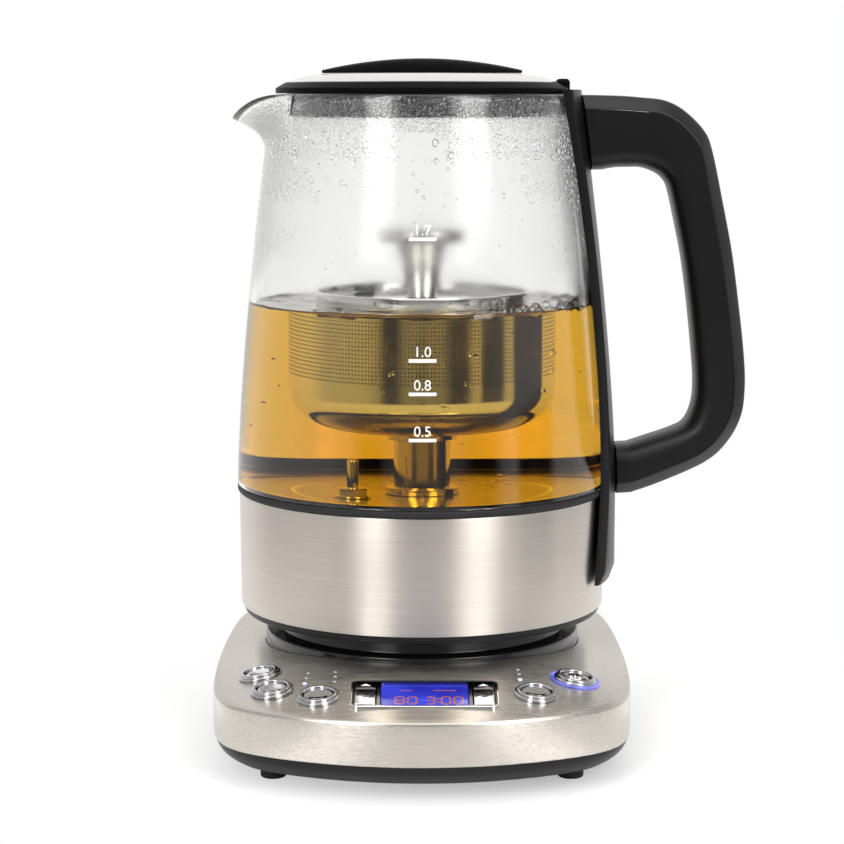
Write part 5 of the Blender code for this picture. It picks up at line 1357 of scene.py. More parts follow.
def make_jug_body():
    """Steel band, black seal, underside and heating plate."""
    foot_z = BAND_LOW.z
    top_z = BAND_HIGH.z
    top_radius = (BAND_HIGH.y - BAND_LOW.y) / 2
    foot_radius = top_radius - BAND_TAPER
    band = [
        (foot_radius, foot_z, BAND_EDGE),
        (top_radius, top_z, BAND_EDGE),
        (top_radius - BAND_WALL, top_z),
        (foot_radius - BAND_WALL, foot_z),
    ]
    add_turned("steel_band", band, "band", "jug", "jug_band", GLASS_STEPS)
    seal_radius, seal_foot, _ = spans("jug_seal_ring")
    shelf = seal_foot + SEAL_HEIGHT
    upstand = GLASS_FOOT_RADIUS - GLASS_WALL - 2 * GAP
    seal = [
        (upstand - SEAL_WALL, seal_foot),
        (seal_radius, seal_foot, SEAL_ROUND),
        (seal_radius, shelf, SEAL_ROUND),
        (upstand, shelf),
        (upstand, shelf + SEAL_LIP, SEAL_LIP / 3),
        (upstand - SEAL_WALL, shelf + SEAL_LIP, SEAL_LIP / 3),
    ]
    add_turned("seal", seal, "rubber", "jug", "jug_seal_ring", GLASS_STEPS)
    under_radius, lip_z, under_top = spans("jug_underside")
    turret_radius, _, turret_top = spans("turret_ring")
    lip_in = turret_radius - TURRET_LEDGE_WIDTH + UNDER_LIP_CLEARANCE
    face_z = turret_top + GAP
    under = [
        (SOCKET_HOLE, face_z),
        (lip_in, face_z, GAP),
        (lip_in, lip_z, GAP),
        (under_radius, lip_z, UNDER_ROUND),
        (under_radius, under_top),
        (under_radius - UNDER_WALL, under_top),
        (under_radius - UNDER_WALL, face_z + UNDER_THICKNESS),
        (SOCKET_HOLE, face_z + UNDER_THICKNESS),
    ]
    add_turned("underside", under, "satin", "jug", "jug_underside", GLASS_STEPS)
    plate_radius, _, plate_top = spans("heating_plate")
    plate_low = plate_top - PLATE_THICKNESS
    plate = [(0, plate_low), (plate_radius, plate_low), (plate_radius, plate_top)]
    for middle in PLATE_GROOVE_RADII[::-1]:
        for offset, drop in PLATE_GROOVE_SHARES:
            plate.append((middle + offset * PLATE_GROOVE_WIDTH, plate_top - drop * PLATE_GROOVE))
    plate.append((0, plate_top))
    add_piece("plate", turned(plate), "plate", "jug", ["heating_plate"])


def make_post_and_probe():
    _, foot_z, top_z = spans("centre_post")
    post = [
        (0, foot_z),
        (POST_RADIUS + POST_FLANGE_WIDTH, foot_z),
        (POST_RADIUS + POST_FLANGE_WIDTH, foot_z + POST_FLANGE, GAP),
        (POST_RADIUS, foot_z + POST_FLANGE, GAP),
        (POST_RADIUS, top_z, POST_ROUND),
        (0, top_z),
    ]
    add_turned("post", post, "polished", "jug", "centre_post")
    _, foot_z, top_z = spans("temperature_probe")
    nut_top = foot_z + PROBE_NUT_HEIGHT
    rod = [(0, foot_z), (PROBE_RADIUS, foot_z), (PROBE_RADIUS, top_z, PROBE_RADIUS / 2), (0, top_z)]
    washer_top = foot_z + PROBE_WASHER
    washer = [(0, foot_z), (PROBE_NUT_RADIUS, foot_z), (PROBE_NUT_RADIUS, washer_top, GAP), (0, washer_top)]
    rings = []
    for z, share in ((washer_top, 1.0), (nut_top - GAP, 1.0), (nut_top, PROBE_NUT_TOP_SHARE)):
        reach = PROBE_NUT_RADIUS * PROBE_NUT_SHARE * share
        turns = [math.tau * i / 6 for i in range(6)]
        rings.append([(reach * math.cos(turn), reach * math.sin(turn), z) for turn in turns])
    round_parts = [turned(filleted(outline), SMALL_TURN_STEPS) for outline in (rod, washer)]
    probe = joined([*round_parts, lofted(rings)])
    place = Matrix.Translation(AXIS) @ Matrix.Rotation(PROBE_ANGLE, 4, "Z")
    place @= Matrix.Translation((PROBE_REACH, 0, 0))
    add_piece("probe", probe, "polished", "jug", ["temperature_probe"], place)


def strap_inner(z):
    return glass_radius(z) + STRAP_CLEARANCE


def strap_half_width(z):
    share = (z - STRAP_LOW.z) / (STRAP_HIGH.z - STRAP_LOW.z)
    if share < STRAP_WAIST_SHARE:
        return mix(STRAP_WAIST_HALF, STRAP_FOOT_HALF, (1 - share / STRAP_WAIST_SHARE) ** 2)
    rest = (share - STRAP_WAIST_SHARE) / (1 - STRAP_WAIST_SHARE)
    return mix(STRAP_WAIST_HALF, STRAP_TOP_HALF, rest**2)


def strap_outer(z):
    """The strap's back face, thinned to a tip at its foot."""
    share = min(1.0, (z - STRAP_LOW.z) / STRAP_CHAMFER)
    return strap_inner(z) + STRAP_THICKNESS * mix(STRAP_TIP_SHARE, 1, share)


def make_strap():
    heights = [STRAP_LOW.z, STRAP_LOW.z + STRAP_CHAMFER / 2]
    chamfer_z = STRAP_LOW.z + STRAP_CHAMFER
    heights += [mix(chamfer_z, STRAP_HIGH.z, i / STRAP_ROWS) for i in range(STRAP_ROWS + 1)]
    rings = []
    for z in heights:
        outer = strap_outer(z)
        inner = strap_inner(z)
        half = strap_half_width(z)
        path = []
        for i in range(STRAP_COLUMNS + 1):
            path.append((outer, mix(-half + STRAP_EASE, half - STRAP_EASE, i / STRAP_COLUMNS)))
        path += [(outer - STRAP_EASE / 3, half - STRAP_EASE / 3), (outer - STRAP_EASE, half)]
        for i in range(STRAP_COLUMNS + 1):
            path.append((inner, mix(half, -half, i / STRAP_COLUMNS)))
        path += [(outer - STRAP_EASE, -half), (outer - STRAP_EASE / 3, -half + STRAP_EASE / 3)]
        ring = []
        for reach, across in path:
            angle = math.asin(across / reach)
            ring.append((reach * math.cos(angle), reach * math.sin(angle), z))
        rings.append(ring)
    add_piece("strap", lofted(rings), "satin", "jug", ["handle_strap"])


def through(points, between):
    """Points on a smooth curve that passes through every given point."""
    curve = []
    for i in range(len(points) - 1):
        before = points[max(i - 1, 0)]
        start = points[i]
        end = points[i + 1]
        after = points[min(i + 2, len(points) - 1)]
        for k in range(between):
            t = k / between
            straight = (end - before) * t
            bend = (2 * before - 5 * start + 4 * end - after) * t**2
            twist = (3 * start - before - 3 * end + after) * t**3
            curve.append(start + (straight + bend + twist) / 2)
    curve.append(points[-1])
    return curve


def handle_ring(outer, inner, section, on_strap):
    """One cross-section of the grip: (depth from the outer line, half-width) pairs, both sides."""
    inward = (inner - outer).normalized()
    ring = []
    for side, order in ((1, 1), (-1, -1)):
        for depth, half in section[::order]:
            point = outer + inward * depth + Vector((0, side * half, 0))
            if on_strap:
                point.x = strap_outer(point.z) + GAP / 3
            ring.append(point)
    return ring


def make_handle():
    """The grip in two mouldings: the chamfered outer cover and the rounded core that fingers hold."""
    foot_z = STRAP_LOW.z + HANDLE_RISE
    height = STRAP_HIGH.z - HANDLE_DROP - foot_z
    outer = []
    inner = []
    for out_x, out_z, in_x, in_z in HANDLE_LINE_SHARES:
        outer.append(Vector((out_x * HANDLE_REACH, 0, foot_z + out_z * height)))
        inner.append(Vector((in_x * HANDLE_REACH, 0, foot_z + in_z * height)))
    outer = through(outer, HANDLE_ROWS_BETWEEN)
    inner = through(inner, HANDLE_ROWS_BETWEEN)
    cover_rings = []
    core_rings = []
    for number, (back, front) in enumerate(zip(outer, inner)):
        depth = (front - back).length
        on_strap = number in (0, len(outer) - 1)
        edge = HANDLE_EDGE_ROUND
        spine = HANDLE_SPINE_ROUND
        cover = [(spine * down, HANDLE_SPINE_HALF + spine * out) for down, out in HANDLE_SPINE_SHARES]
        cover += [
            (HANDLE_COVER_DEPTH - edge, HANDLE_HALF_WIDTH - edge),
            (HANDLE_COVER_DEPTH - edge / 3, HANDLE_HALF_WIDTH - edge / 4),
            (HANDLE_COVER_DEPTH + edge / 2, HANDLE_HALF_WIDTH),
        ]
        core = [(HANDLE_COVER_DEPTH + edge / 2 + GAP / 3, HANDLE_HALF_WIDTH)]
        start = Vector((depth - HANDLE_BELLY_DEPTH, HANDLE_HALF_WIDTH))
        control = Vector((depth - GAP, HANDLE_HALF_WIDTH - edge))
        end = Vector((depth, HANDLE_BELLY_HALF / 2))
        steps = 2 * ROUND_STEPS
        for k in range(steps + 1):
            t = k / steps
            core.append(start * (1 - t) ** 2 + control * (2 * t * (1 - t)) + end * t**2)
        cover_rings.append(handle_ring(back, front, cover, on_strap))
        core_rings.append(handle_ring(back, front, core, on_strap))
    add_piece("grip_cover", lofted(cover_rings), "satin", "jug", ["handle_cover"])
    add_piece("grip_core", lofted(core_rings), "satin", "jug", ["handle_core"])


# Lid


def make_lid():
    radius = spans("lid_rim")[0]
    rim_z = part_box("lid_rim")[0].z
    bore = radius - LID_RIM_WIDTH
    rim_top = rim_z + LID_RIM_HEIGHT
    rim = [
        (bore, rim_z),
        (radius, rim_z, GAP),
        (radius, rim_z + LID_RIM_EDGE_HEIGHT, 2 * GAP),
        (bore + GAP, rim_top, GAP),
        (bore, rim_top),
    ]
    piece = bare_piece("rim", turned(filleted(rim)))
    tab_x = radius + LID_TAB_PROUD - LID_TAB_LENGTH / 2
    tab_low = rim_z + GAP
    tab_high = tab_low + LID_TAB_HEIGHT
    tab_plan = (LID_TAB_LENGTH, LID_TAB_WIDTH)
    tab = rounded_block(*tab_plan, tab_low, tab_high, LID_TAB_ROUND, LID_TAB_ROUND, (tab_x, 0))
    combine(piece, [bare_piece("tab", tab)], "UNION")
    finished(piece, "matt", "lid", ["lid_rim"])
    wall = LID_PLATE_WALL
    edge_radius, _, plate_top = spans("lid_plate")
    edge_z = plate_top - LID_CROWN
    lip = LID_DISH_RADIUS + LID_DISH_LIP
    floor_r = LID_DISH_RADIUS - LID_DISH_SLOPE
    dish_z = plate_top - LID_DISH_DEPTH
    crown = []
    for k in range(2 * ROUND_STEPS + 1):
        share = k / (2 * ROUND_STEPS)
        crown.append((mix(lip, edge_radius, share), mix(plate_top, edge_z, share**LID_CROWN_POWER)))
    plate = [(0, dish_z), (floor_r, dish_z, 3 * wall), (LID_DISH_RADIUS, plate_top - wall / 2, wall)]
    plate += crown
    plate += [(radius_in, z - wall) for radius_in, z in crown[::-2]]
    plate += [(floor_r + wall / 2, dish_z - wall), (0, dish_z - wall)]
    add_turned("lid_top", plate, "lid_steel", "lid", "lid_plate")
    plug_radius, plug_foot, plug_top = spans("lid_plug")
    inner = plug_radius - LID_PLUG_WALL
    plug = [
        (0, plug_foot),
        (plug_radius, plug_foot, 2 * GAP),
        (plug_radius, plug_top),
        (inner, plug_top),
        (inner, plug_foot + LID_PLUG_WALL),
        (0, plug_foot + LID_PLUG_WALL),
    ]
    piece = bare_piece("plug_band", turned(filleted(plug)))
    window_x = plug_radius * math.cos(SPOUT_HALF_ANGLE)
    length = plug_radius - window_x + OVERRUN
    width = 2 * plug_radius * math.sin(SPOUT_HALF_ANGLE)
    window_low = plug_foot + LID_WINDOW_RISE
    centre = (-(window_x + length / 2), 0)
    window = rounded_block(length, width, window_low, window_low + LID_WINDOW_HEIGHT, GAP, 0.0, centre)
    combine(piece, [bare_piece("pour_window", window)])
    finished(piece, "gloss", "lid", ["lid_plug"])
    gasket_radius, gasket_low, gasket_top = spans("lid_gasket")
    gasket = [
        (bore, gasket_low),
        (gasket_radius, mix(gasket_low, gasket_top, GASKET_EDGE_SHARE), GAP),
        (gasket_radius, gasket_top, GAP),
        (bore, gasket_top),
    ]
    add_turned("gasket", gasket, "silicone", "lid", "lid_gasket")
    make_clips(plug_radius, plug_foot)
    make_grip(plate_top)


def make_clips(plug_radius, plug_foot):
    """The two bright catches on the plug that hold its strainer."""
    parts = []
    for middle in CLIP_ANGLES:
        rings = []
        for i in range(ROUND_STEPS + 1):
            angle = middle + mix(-CLIP_HALF_ANGLE, CLIP_HALF_ANGLE, i / ROUND_STEPS)
            ring = []
            for reach, z in ((0, 0), (1, 0), (1, 1), (0, 1)):
                radius = plug_radius - OVERLAP + reach * CLIP_PROUD
                height = plug_foot + mix(CLIP_HIGH, CLIP_LOW, z)
                ring.append((radius * math.cos(angle), radius * math.sin(angle), height))
            rings.append(ring)
        parts.append(lofted(rings))
    add_piece("plug_clips", joined(parts), "chrome", "lid")


def make_grip(plate_top):
    """The low arched bar across the dish, flat below and crowned above."""
    low_z = plate_top + GAP
    end_top = low_z + GRIP_END_THICKNESS
    rings = []
    for i in range(GRIP_ROWS + 1):
        share = mix(-1, 1, i / GRIP_ROWS)
        top_z = mix(plate_top + GRIP_RISE, end_top, share**2)
        half = GRIP_HALF_WIDTH * mix(1, GRIP_END_WIDTH_SHARE, share**2)
        x = GRIP_HALF_LENGTH * share
        ring = [(x, -half, low_z), (x, half, low_z)]
        for k in range(GRIP_SIDE_STEPS + 1):
            angle = math.pi * k / GRIP_SIDE_STEPS
            across = half * math.copysign(abs(math.cos(angle)) ** GRIP_ACROSS_POWER, math.cos(angle))
            ring.append((x, across, low_z + GAP + (top_z - low_z - GAP) * math.sin(angle) ** GRIP_UP_POWER))
        rings.append(ring)
    add_piece("arched_grip", lofted(rings), "matt", "lid", ["lid_grip"])


# Infuser basket


def make_basket():
    """The strainer, with its field of square holes cut through the wall."""
    _, floor_z, rim_z = spans("basket_body")
    wall = BASKET_WALL
    holes_low = floor_z + BASKET_HOLES_LOW
    holes_high = holes_low + BASKET_HOLE_ROWS * BASKET_HOLE_PITCH
    corner_r = BASKET_BODY_RADIUS - BASKET_CORNER
    corner_z = floor_z + BASKET_CORNER
    hole = SLEEVE_BORE + SLEEVE_WALL + GAP
    bm = bmesh.new()
    lower = [(BASKET_BODY_RADIUS - wall, holes_low)]
    for k in range(BASKET_CORNER_STEPS + 1):
        angle = math.radians(-90) * k / BASKET_CORNER_STEPS
        reach = BASKET_CORNER - wall
        lower.append((corner_r + reach * math.cos(angle), corner_z + reach * math.sin(angle)))
    lower += [(hole, floor_z + wall), (hole, floor_z)]
    for k in range(BASKET_CORNER_STEPS + 1):
        angle = math.radians(-90) * (1 - k / BASKET_CORNER_STEPS)
        lower.append((corner_r + BASKET_CORNER * math.cos(angle), corner_z + BASKET_CORNER * math.sin(angle)))
    lower.append((BASKET_BODY_RADIUS, holes_low))
    rim = BASKET_RADIUS + BASKET_RIM_WIDTH
    upper = [
        (BASKET_BODY_RADIUS, holes_high),
        (BASKET_BODY_RADIUS, BASKET_FLARE_LOW),
        (BASKET_RADIUS, BASKET_FLARE_HIGH),
        (BASKET_RADIUS, rim_z - BASKET_RIM_SHARES[0] * wall),
        (rim, rim_z - BASKET_RIM_SHARES[1] * wall),
        (rim, rim_z - wall / 2),
        (rim - wall / 3, rim_z),
        (BASKET_RADIUS - wall / 2, rim_z),
        (BASKET_RADIUS - wall, rim_z - wall / 2),
        (BASKET_RADIUS - wall, BASKET_FLARE_HIGH),
        (BASKET_BODY_RADIUS - wall, BASKET_FLARE_LOW),
        (BASKET_BODY_RADIUS - wall, holes_high),
    ]
    for outline in (lower, upper):
        rows = []
        for reach, z in outline:
            rows.append([bm.verts.new(basket_point(reach, i, z)) for i in range(BASKET_COLUMNS)])
        skin(bm, rows)
    edge_x = (1 - BASKET_HOLE_WIDTH_SHARE) / 2
    edge_z = (1 - BASKET_HOLE_HEIGHT_SHARE) / 2
    corners = ((0, 0), (1, 0), (1, 1), (0, 1))
    opening = ((edge_x, edge_z), (1 - edge_x, edge_z), (1 - edge_x, 1 - edge_z), (edge_x, 1 - edge_z))
    for row in range(BASKET_HOLE_ROWS):
        low = holes_low + row * BASKET_HOLE_PITCH
        for column in range(BASKET_COLUMNS):
            rims = []
            for reach in (BASKET_BODY_RADIUS, BASKET_BODY_RADIUS - wall):
                squares = []
                for shares in (corners, opening):
                    points = [basket_point(reach, column + u, low + v * BASKET_HOLE_PITCH) for u, v in shares]
                    squares.append([bm.verts.new(point) for point in points])
                skin(bm, squares)
                rims.append(squares[1])
            skin(bm, rims)
    add_piece("strainer", bm, "polished", "basket", ["basket_body"])


def basket_point(reach, column, z):
    angle = math.tau * column / BASKET_COLUMNS
    return (reach * math.cos(angle), reach * math.sin(angle), z)


def make_basket_fittings():
    """The sleeve that slides on the post, and the basket's lid with its lifting knob."""
    _, foot_z, top_z = spans("basket_sleeve")
    out = SLEEVE_BORE + SLEEVE_WALL
    sleeve = [(SLEEVE_BORE, foot_z, GAP), (out, foot_z, GAP), (out, top_z), (SLEEVE_BORE, top_z)]
    add_turned("sleeve", sleeve, "polished", "basket", "basket_sleeve")
    radius, low_z, high_z = spans("basket_lid")
    step = BASKET_LID_STEP
    lid = [
        (0, low_z),
        (radius, low_z, GAP),
        (radius, high_z, GAP),
        (radius - 4 * step, high_z, step),
        (radius - 7 * step, high_z - step, step),
        (2 * KNOB_SHOULDER_RADIUS, high_z - step, step),
        (2 * KNOB_SHOULDER_RADIUS - 3 * step, high_z, step),
        (0, high_z),
    ]
    add_turned("strainer_lid", lid, "polished", "basket_lid", "basket_lid")
    _, foot_z, top_z = spans("basket_knob")
    flange_z = top_z - KNOB_THICKNESS
    waist_r = mix(KNOB_NECK_RADIUS, KNOB_SHOULDER_RADIUS, KNOB_WAIST_SHARES[0])
    waist_z = mix(foot_z, flange_z, KNOB_WAIST_SHARES[1])
    knob = [
        (0, foot_z),
        (KNOB_NECK_RADIUS, foot_z),
        (waist_r, waist_z, 8 * KNOB_ROUND),
        (KNOB_SHOULDER_RADIUS, flange_z, KNOB_ROUND),
        (KNOB_RADIUS, flange_z, KNOB_ROUND),
        (KNOB_RADIUS, top_z, KNOB_ROUND),
        (0, top_z),
    ]
    add_turned("lifting_knob", knob, "plate", "basket_lid", "basket_knob")


# Tea, droplets, leaves and printed marks


def make_tea():
    """The tea fills the glass a hair into its wall, and climbs a little where it meets it."""
    dice = random.Random(BUBBLE_SEED)
    waves = []
    for _ in range(TEA_WAVE_COUNT):
        heading = dice.uniform(0, math.tau)
        waves.append((heading, dice.uniform(*TEA_WAVES_PER_METRE), dice.uniform(0, math.tau)))
    seal_top = spans("jug_seal_ring")[1] + SEAL_HEIGHT + SEAL_LIP
    seal_in = GLASS_FOOT_RADIUS - GLASS_WALL - 2 * GAP - SEAL_WALL + OVERLAP
    plate_top = BAND_HIGH.z
    bm = bmesh.new()
    outline = [(0, plate_top - OVERLAP), (seal_in, plate_top - OVERLAP), (seal_in, seal_top + GAP)]
    for k in range(TEA_RINGS + 1):
        z = mix(seal_top + GAP, TEA_Z + TEA_MENISCUS, k / TEA_RINGS)
        outline.append((glass_radius(z) - GLASS_WALL + OVERLAP, z))
    rows = []
    for reach, z in outline:
        rows.append(tea_ring(bm, reach, lambda x, y: z))
    edge = glass_radius(TEA_Z) - GLASS_WALL
    reaches = [edge - TEA_MENISCUS_REACH * share for share in TEA_MENISCUS_SHARES]
    reaches += [mix(reaches[-1], 0, k / TEA_RINGS) for k in range(1, TEA_RINGS + 1)]
    for reach in reaches:
        climb = max(0.0, 1 - (edge - reach) / TEA_MENISCUS_REACH) ** TEA_MENISCUS_POWER * TEA_MENISCUS

        def surface(x, y):
            ripple = sum(math.sin(k * (x * math.cos(a) + y * math.sin(a)) + p) for a, k, p in waves)
            return TEA_Z + climb + ripple / len(waves) * TEA_RIPPLE

        rows.append(tea_ring(bm, reach, surface))
    skin(bm, rows)
    add_piece("tea", bm, "tea", "jug")


def tea_ring(bm, reach, height):
    if reach < MERGE:
        return [bm.verts.new((0, 0, height(0, 0)))] * TURN_STEPS
    ring = []
    for i in range(TURN_STEPS):
        angle = math.tau * i / TURN_STEPS
        x = reach * math.cos(angle)
        y = reach * math.sin(angle)
        ring.append(bm.verts.new((x, y, height(x, y))))
    return ring


def make_droplets():
    """Beads of steam on the inside of the glass, crowded under the lid and thinner lower down."""
    dice = random.Random(DROPLET_SEED)
    taken = {}
    bm = bmesh.new()
    for low, high, smallest, largest, tries, clear_half in DROPLET_BELTS:
        for _ in range(tries):
            angle = dice.uniform(0, math.tau)
            z = dice.uniform(low, high)
            size = mix(smallest, largest, dice.random() ** 2.2)
            off_front = abs(math.remainder(angle + math.pi / 2, math.pi))
            if off_front < clear_half and dice.random() < DROPLET_CLEARED_SHARE:
                continue
            across = angle * GLASS_FOOT_RADIUS
            key = (int(across / DROPLET_CELL), int(z / DROPLET_CELL))
            near = []
            for i in (-1, 0, 1):
                for j in (-1, 0, 1):
                    near += taken.get((key[0] + i, key[1] + j), [])
            spacing = [math.hypot(across - u, z - v) / (size + other) for u, v, other in near]
            if any(share < DROPLET_SPACING_SHARE for share in spacing):
                continue
            taken.setdefault(key, []).append((across, z, size))
            add_droplet(bm, angle, z, size, dice)
    add_piece("droplets", bm, "water", "jug")


def add_droplet(bm, angle, z, size, dice):
    """One bead: a dome on the inner wall, a little longer downwards, with its foot in the glass."""
    middle = on_inner_wall(angle, z)
    aside = on_inner_wall(angle + GAP / middle.length, z) - middle
    above = on_inner_wall(angle, z + GAP) - middle
    inward = above.cross(aside).normalized()
    right = aside.normalized()
    up = above.normalized()
    long = dice.uniform(0.95, 1.35)
    lean = dice.uniform(-0.12, 0.12)
    foot = []
    shoulder = []
    for i in range(DROPLET_SIDES):
        turn = math.tau * i / DROPLET_SIDES
        spread = size * dice.uniform(0.88, 1.08)
        flat = right * (math.cos(turn) + lean * math.sin(turn)) * spread + up * math.sin(turn) * spread * long
        foot.append(bm.verts.new(middle + flat - inward * OVERLAP))
        raised = inward * size * DROPLET_HEIGHT_SHARE * DROPLET_SHOULDER_SHARE
        shoulder.append(bm.verts.new(middle + flat * DROPLET_SHOULDER_SHARE - up * size * 0.05 + raised))
    top = bm.verts.new(middle + inward * size * DROPLET_HEIGHT_SHARE - up * size * 0.1)
    bm.faces.new(foot)
    skin(bm, [foot, shoulder])
    for i in range(DROPLET_SIDES):
        bm.faces.new((shoulder[i], shoulder[(i + 1) % DROPLET_SIDES], top))


def make_bubbles():
    """Froth on the tea near the handle, and beads of gas on the basket and the plate."""
    dice = random.Random(BUBBLE_SEED)
    parts = []
    edge = glass_radius(TEA_Z) - GLASS_WALL
    for _ in range(FROTH_COUNT):
        angle = math.radians(dice.gauss(*FROTH_BEARING))
        size = mix(*FROTH_SIZES, dice.random() ** 2.5)
        reach = edge - size - abs(dice.gauss(0, FROTH_SPREAD))
        if reach < BASKET_RADIUS + FROTH_CLEARANCE:
            continue
        parts.append(bead(reach, angle, TEA_Z + size * 0.3, size))
    for _ in range(BASKET_BEAD_COUNT):
        angle = dice.uniform(0, math.tau)
        size = mix(*BASKET_BEAD_SIZES, dice.random() ** 2)
        parts.append(bead(BASKET_RADIUS + size, angle, dice.uniform(*BASKET_BEAD_HEIGHTS), size))
    for _ in range(PLATE_BEAD_COUNT):
        angle = dice.uniform(0, math.tau)
        size = mix(*PLATE_BEAD_SIZES, dice.random())
        parts.append(bead(dice.uniform(*PLATE_BEAD_REACHES), angle, BAND_HIGH.z + size, size))
    add_piece("bubbles", joined(parts), "bubble", "jug")


def bead(reach, bearing, z, size):
    """A ball of gas, so far from the kettle's axis."""
    outline = []
    for k in range(2 * ROUND_STEPS + 1):
        angle = math.radians(-90) + math.pi * k / (2 * ROUND_STEPS)
        outline.append((max(0.0, size * math.cos(angle)), size * math.sin(angle)))
    ball = turned(outline, 4 * ROUND_STEPS)
    return moved(ball, (reach * math.cos(bearing), reach * math.sin(bearing), z))


def make_leaves():
    """A few bits of leaf adrift in the tea."""
    dice = random.Random(LEAF_SEED)
    parts = []
    for _ in range(LEAF_COUNT):
        angle = dice.uniform(0, math.tau)
        reach = dice.uniform(BASKET_RADIUS + LEAF_NEAREST, BASKET_RADIUS + LEAF_FARTHEST)
        z = dice.uniform(BAND_HIGH.z + LEAF_LIFT, TEA_Z - LEAF_DEPTH)
        size = dice.uniform(*LEAF_SIZES)
        flake = rounded_block(3 * size, size, 0, size / 3, size / 4)
        for axis in "XZ":
            turn = Matrix.Rotation(dice.uniform(0, math.tau), 3, axis)
            bmesh.ops.rotate(flake, verts=flake.verts, matrix=turn)
        parts.append(moved(flake, (reach * math.cos(angle), reach * math.sin(angle), z)))
    add_piece("leaf_bits", joined(parts), "leaf", "jug")


def make_marks():
    """Printed level bars with plain numbers, wrapped on the front of the glass."""
    bm = bmesh.new()
    for label, z in MARK_LEVELS:
        bar = bmesh.new()
        bmesh.ops.create_grid(bar, x_segments=12, y_segments=1, size=0.5)
        for vertex in bar.verts:
            vertex.co = Vector((vertex.co.x * MARK_BAR_LENGTH, vertex.co.y * MARK_BAR_WIDTH, 0))
        solid = thickened(bar)
        wrap(bm, solid, z)
        wrap(bm, lettered(label), z + MARK_TEXT_LIFT)
    add_piece("level_marks", bm, "ink", "jug")


def thickened(bm):
    """A flat mesh given the depth of a film of ink."""
    made = bmesh.ops.extrude_face_region(bm, geom=bm.faces[:])
    raised = [item for item in made["geom"] if isinstance(item, bmesh.types.BMVert)]
    bmesh.ops.translate(bm, verts=raised, vec=(0, 0, MARK_HEIGHT))
    return bm


def lettered(text):
    """The outline of a plain number as a thin solid."""
    curve = bpy.data.curves.new("number", "FONT")
    curve.body = text
    curve.size = MARK_TEXT_HEIGHT
    curve.align_x = "CENTER"
    curve.extrude = MARK_HEIGHT / 2
    holder = bpy.data.objects.new("number", curve)
    bpy.context.scene.collection.objects.link(holder)
    bpy.context.view_layer.update()
    mesh = bpy.data.meshes.new_from_object(holder.evaluated_get(bpy.context.evaluated_depsgraph_get()))
    bpy.data.objects.remove(holder, do_unlink=True)
    bm = bmesh.new()
    bm.from_mesh(mesh)
    bmesh.ops.translate(bm, verts=bm.verts, vec=(0, 0, MARK_HEIGHT / 2))
    return bm


def wrap(target, flat, base_z):
    """Bends a flat mesh, drawn in X and Y, round the front of the glass, and adds it to the target."""
    for vertex in flat.verts:
        z = base_z + vertex.co.y
        radius = glass_radius(z) - OVERLAP / 3 + vertex.co.z
        angle = math.radians(-90) + (vertex.co.x + MARK_SHIFT) / radius
        vertex.co = Vector((radius * math.cos(angle), radius * math.sin(angle), z))
    mesh = bpy.data.meshes.new("wrapped")
    flat.to_mesh(mesh)
    flat.free()
    target.from_mesh(mesh)


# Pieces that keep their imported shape


def dress(node, finish):
    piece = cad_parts[node]
    if piece.material_slots:
        for slot in piece.material_slots:
            slot.material = FINISHES[finish]
    else:
        piece.data.materials.append(FINISHES[finish])


def dress_inner_nodes():
    for number in range(1, 5):
        dress(f"tray_screw_{number}", "grey_metal")
    for node in ("heating_element", "lift_motor", "magnet_carrier"):
        dress(node, "grey_metal")
    dress("lift_screw", "polished")
    dress("jug_socket", "satin")
    dress("control_board", "board")


# Studio


def make_floor():
    """A pale round floor. Away from the object it fades to plain white for the camera."""
    bm = bmesh.new()
    bmesh.ops.create_circle(bm, cap_ends=True, segments=96, radius=FLOOR_RADIUS)
    mesh = bpy.data.meshes.new("floor")
    bm.to_mesh(mesh)
    bm.free()
    floor = bpy.data.objects.new("floor", mesh)
    bpy.context.scene.collection.objects.link(floor)
    material, tree, shader = new_material("studio_floor", Roughness=0.9, Specular_IOR_Level=0.0)
    place = object_place(tree)
    tone = noise_of(tree, place, 9.0, 2.0)
    feed(tree, shader.inputs["Base Color"], mixed(tree, tone, (0.90, 0.90, 0.90, 1), (0.92, 0.92, 0.92, 1)))
    reach = add_node(tree, "ShaderNodeVectorMath", {0: place}, operation="LENGTH").outputs["Value"]
    fade = ranged(tree, reach, FLOOR_FADE_FROM, FLOOR_FADE_TO, 0.3, 1.0)
    rays = add_node(tree, "ShaderNodeLightPath").outputs
    seen = calc(tree, "MAXIMUM", rays["Is Camera Ray"], rays["Is Transmission Ray"])
    white = add_node(tree, "ShaderNodeEmission", {"Color": (1, 1, 1, 1), "Strength": 1.0})
    both = add_node(tree, "ShaderNodeMixShader", {0: calc(tree, "MULTIPLY", fade, seen)})
    feed(tree, both.inputs[1], shader.outputs[0])
    feed(tree, both.inputs[2], white.outputs[0])
    feed(tree, tree.nodes["Material Output"].inputs["Surface"], both.outputs[0])
    mesh.materials.append(material)


def strip_mask(tree, bearing, edges):
    """1 inside a tall strip of the surroundings between two bearings, falling to 0 on either side."""
    begin, full_begin, full_end, end = [math.radians(edge) for edge in edges]
    rising = ranged(tree, bearing, begin, full_begin, 0.0, 1.0)
    falling = ranged(tree, bearing, full_end, end, 1.0, 0.0)
    return calc(tree, "MINIMUM", rising, falling)


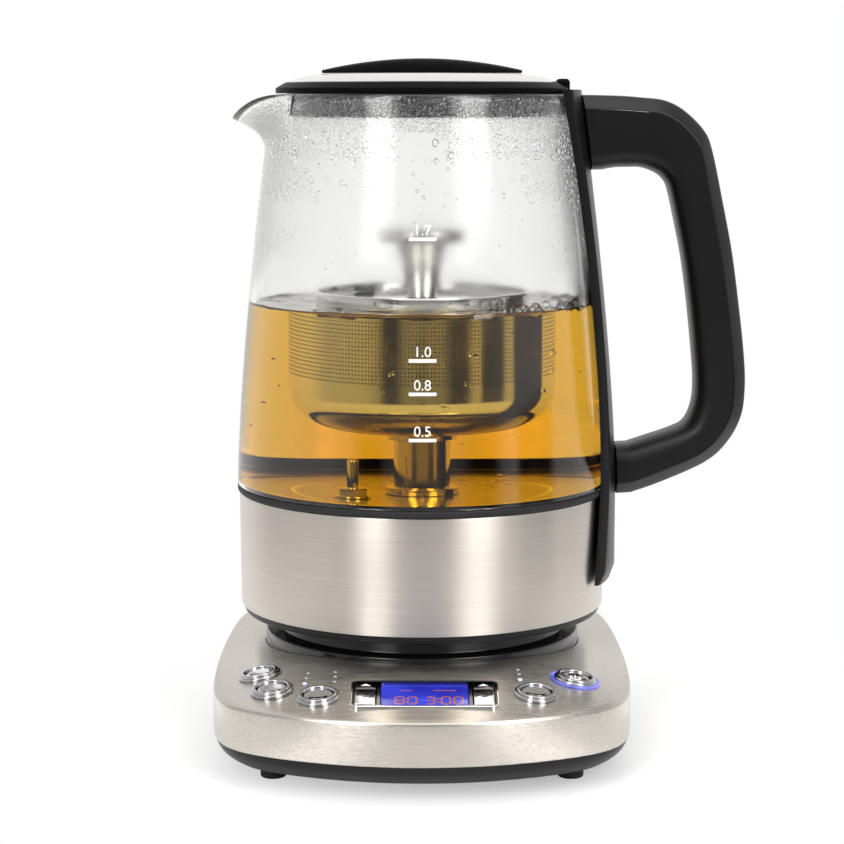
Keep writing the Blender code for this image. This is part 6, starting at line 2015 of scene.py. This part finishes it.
def make_world():
    """White surroundings for the camera. What the object mirrors is greyer in front, with two tall lights."""
    world = bpy.data.worlds.new("studio")
    bpy.context.scene.world = world
    world.use_nodes = True
    tree = world.node_tree
    out = tree.nodes["World Output"]
    lit = tree.nodes["Background"]
    aim = add_node(tree, "ShaderNodeTexCoord").outputs["Generated"]
    split = add_node(tree, "ShaderNodeSeparateXYZ", {0: aim}).outputs
    height = split[2]
    front = calc(tree, "MULTIPLY", split[1], -1.0)
    bearing = calc(tree, "ARCTAN2", split[0], front)
    level = ranged(tree, front, *BACK_FADE, BACK_LEVEL, SIDE_LEVEL)
    level = calc(tree, "MINIMUM", level, ranged(tree, front, *FRONT_FADE, BACK_LEVEL, FRONT_LEVEL))
    level = calc(tree, "MAXIMUM", level, ranged(tree, height, *TOP_FADE, 0.0, TOP_LEVEL))
    rising = ranged(tree, height, *STRIP_RISE, 0.0, 1.0)
    above = calc(tree, "MINIMUM", rising, ranged(tree, height, *STRIP_FALL, 1.0, 0.0))
    below = ranged(tree, height, *HORIZON_FADE, 1.0, 0.0)
    for edges, gain in LIGHT_STRIPS:
        strip = strip_mask(tree, bearing, edges)
        dark = calc(tree, "MULTIPLY", strip, below)
        level = calc(tree, "MULTIPLY", level, calc(tree, "MULTIPLY_ADD", dark, -STRIP_SHADE, 1.0))
        level = calc(tree, "MULTIPLY_ADD", calc(tree, "MULTIPLY", strip, above), gain, level)
    feed(tree, lit.inputs["Color"], (1.0, 0.99, 0.98, 1))
    feed(tree, lit.inputs["Strength"], level)
    plain = add_node(tree, "ShaderNodeBackground", {"Color": (1, 1, 1, 1), "Strength": 1.0})
    rays = add_node(tree, "ShaderNodeLightPath").outputs
    both = add_node(tree, "ShaderNodeMixShader", {0: rays["Is Camera Ray"]})
    feed(tree, both.inputs[1], lit.outputs[0])
    feed(tree, both.inputs[2], plain.outputs[0])
    feed(tree, out.inputs["Surface"], both.outputs[0])


def make_camera():
    data = bpy.data.cameras.new("camera")
    data.lens = CAMERA_LENS
    data.sensor_width = CAMERA_SENSOR
    camera = bpy.data.objects.new("camera", data)
    camera.location = CAMERA_PLACE
    camera.rotation_euler = (math.radians(90) - CAMERA_PITCH, 0, 0)
    bpy.context.scene.collection.objects.link(camera)
    bpy.context.scene.camera = camera


def make_key_light():
    data = bpy.data.lights.new("overhead_light", "AREA")
    data.shape = "DISK"
    data.size = LIGHT_SIZE
    data.energy = LIGHT_ENERGY
    light = bpy.data.objects.new("overhead_light", data)
    light.location = LIGHT_PLACE
    bpy.context.scene.collection.objects.link(light)


bpy.context.scene.view_settings.view_transform = "Standard"
make_camera()
make_world()
make_key_light()
make_floor()
make_base_cover()
make_base_tray()
make_feet()
make_turret()
make_buttons()
make_indicators()
make_display()
make_gland()
make_glass()
make_jug_body()
make_post_and_probe()
make_strap()
make_handle()
make_lid()
make_basket()
make_basket_fittings()
make_tea()
make_droplets()
make_bubbles()
make_leaves()
make_marks()
dress_inner_nodes()
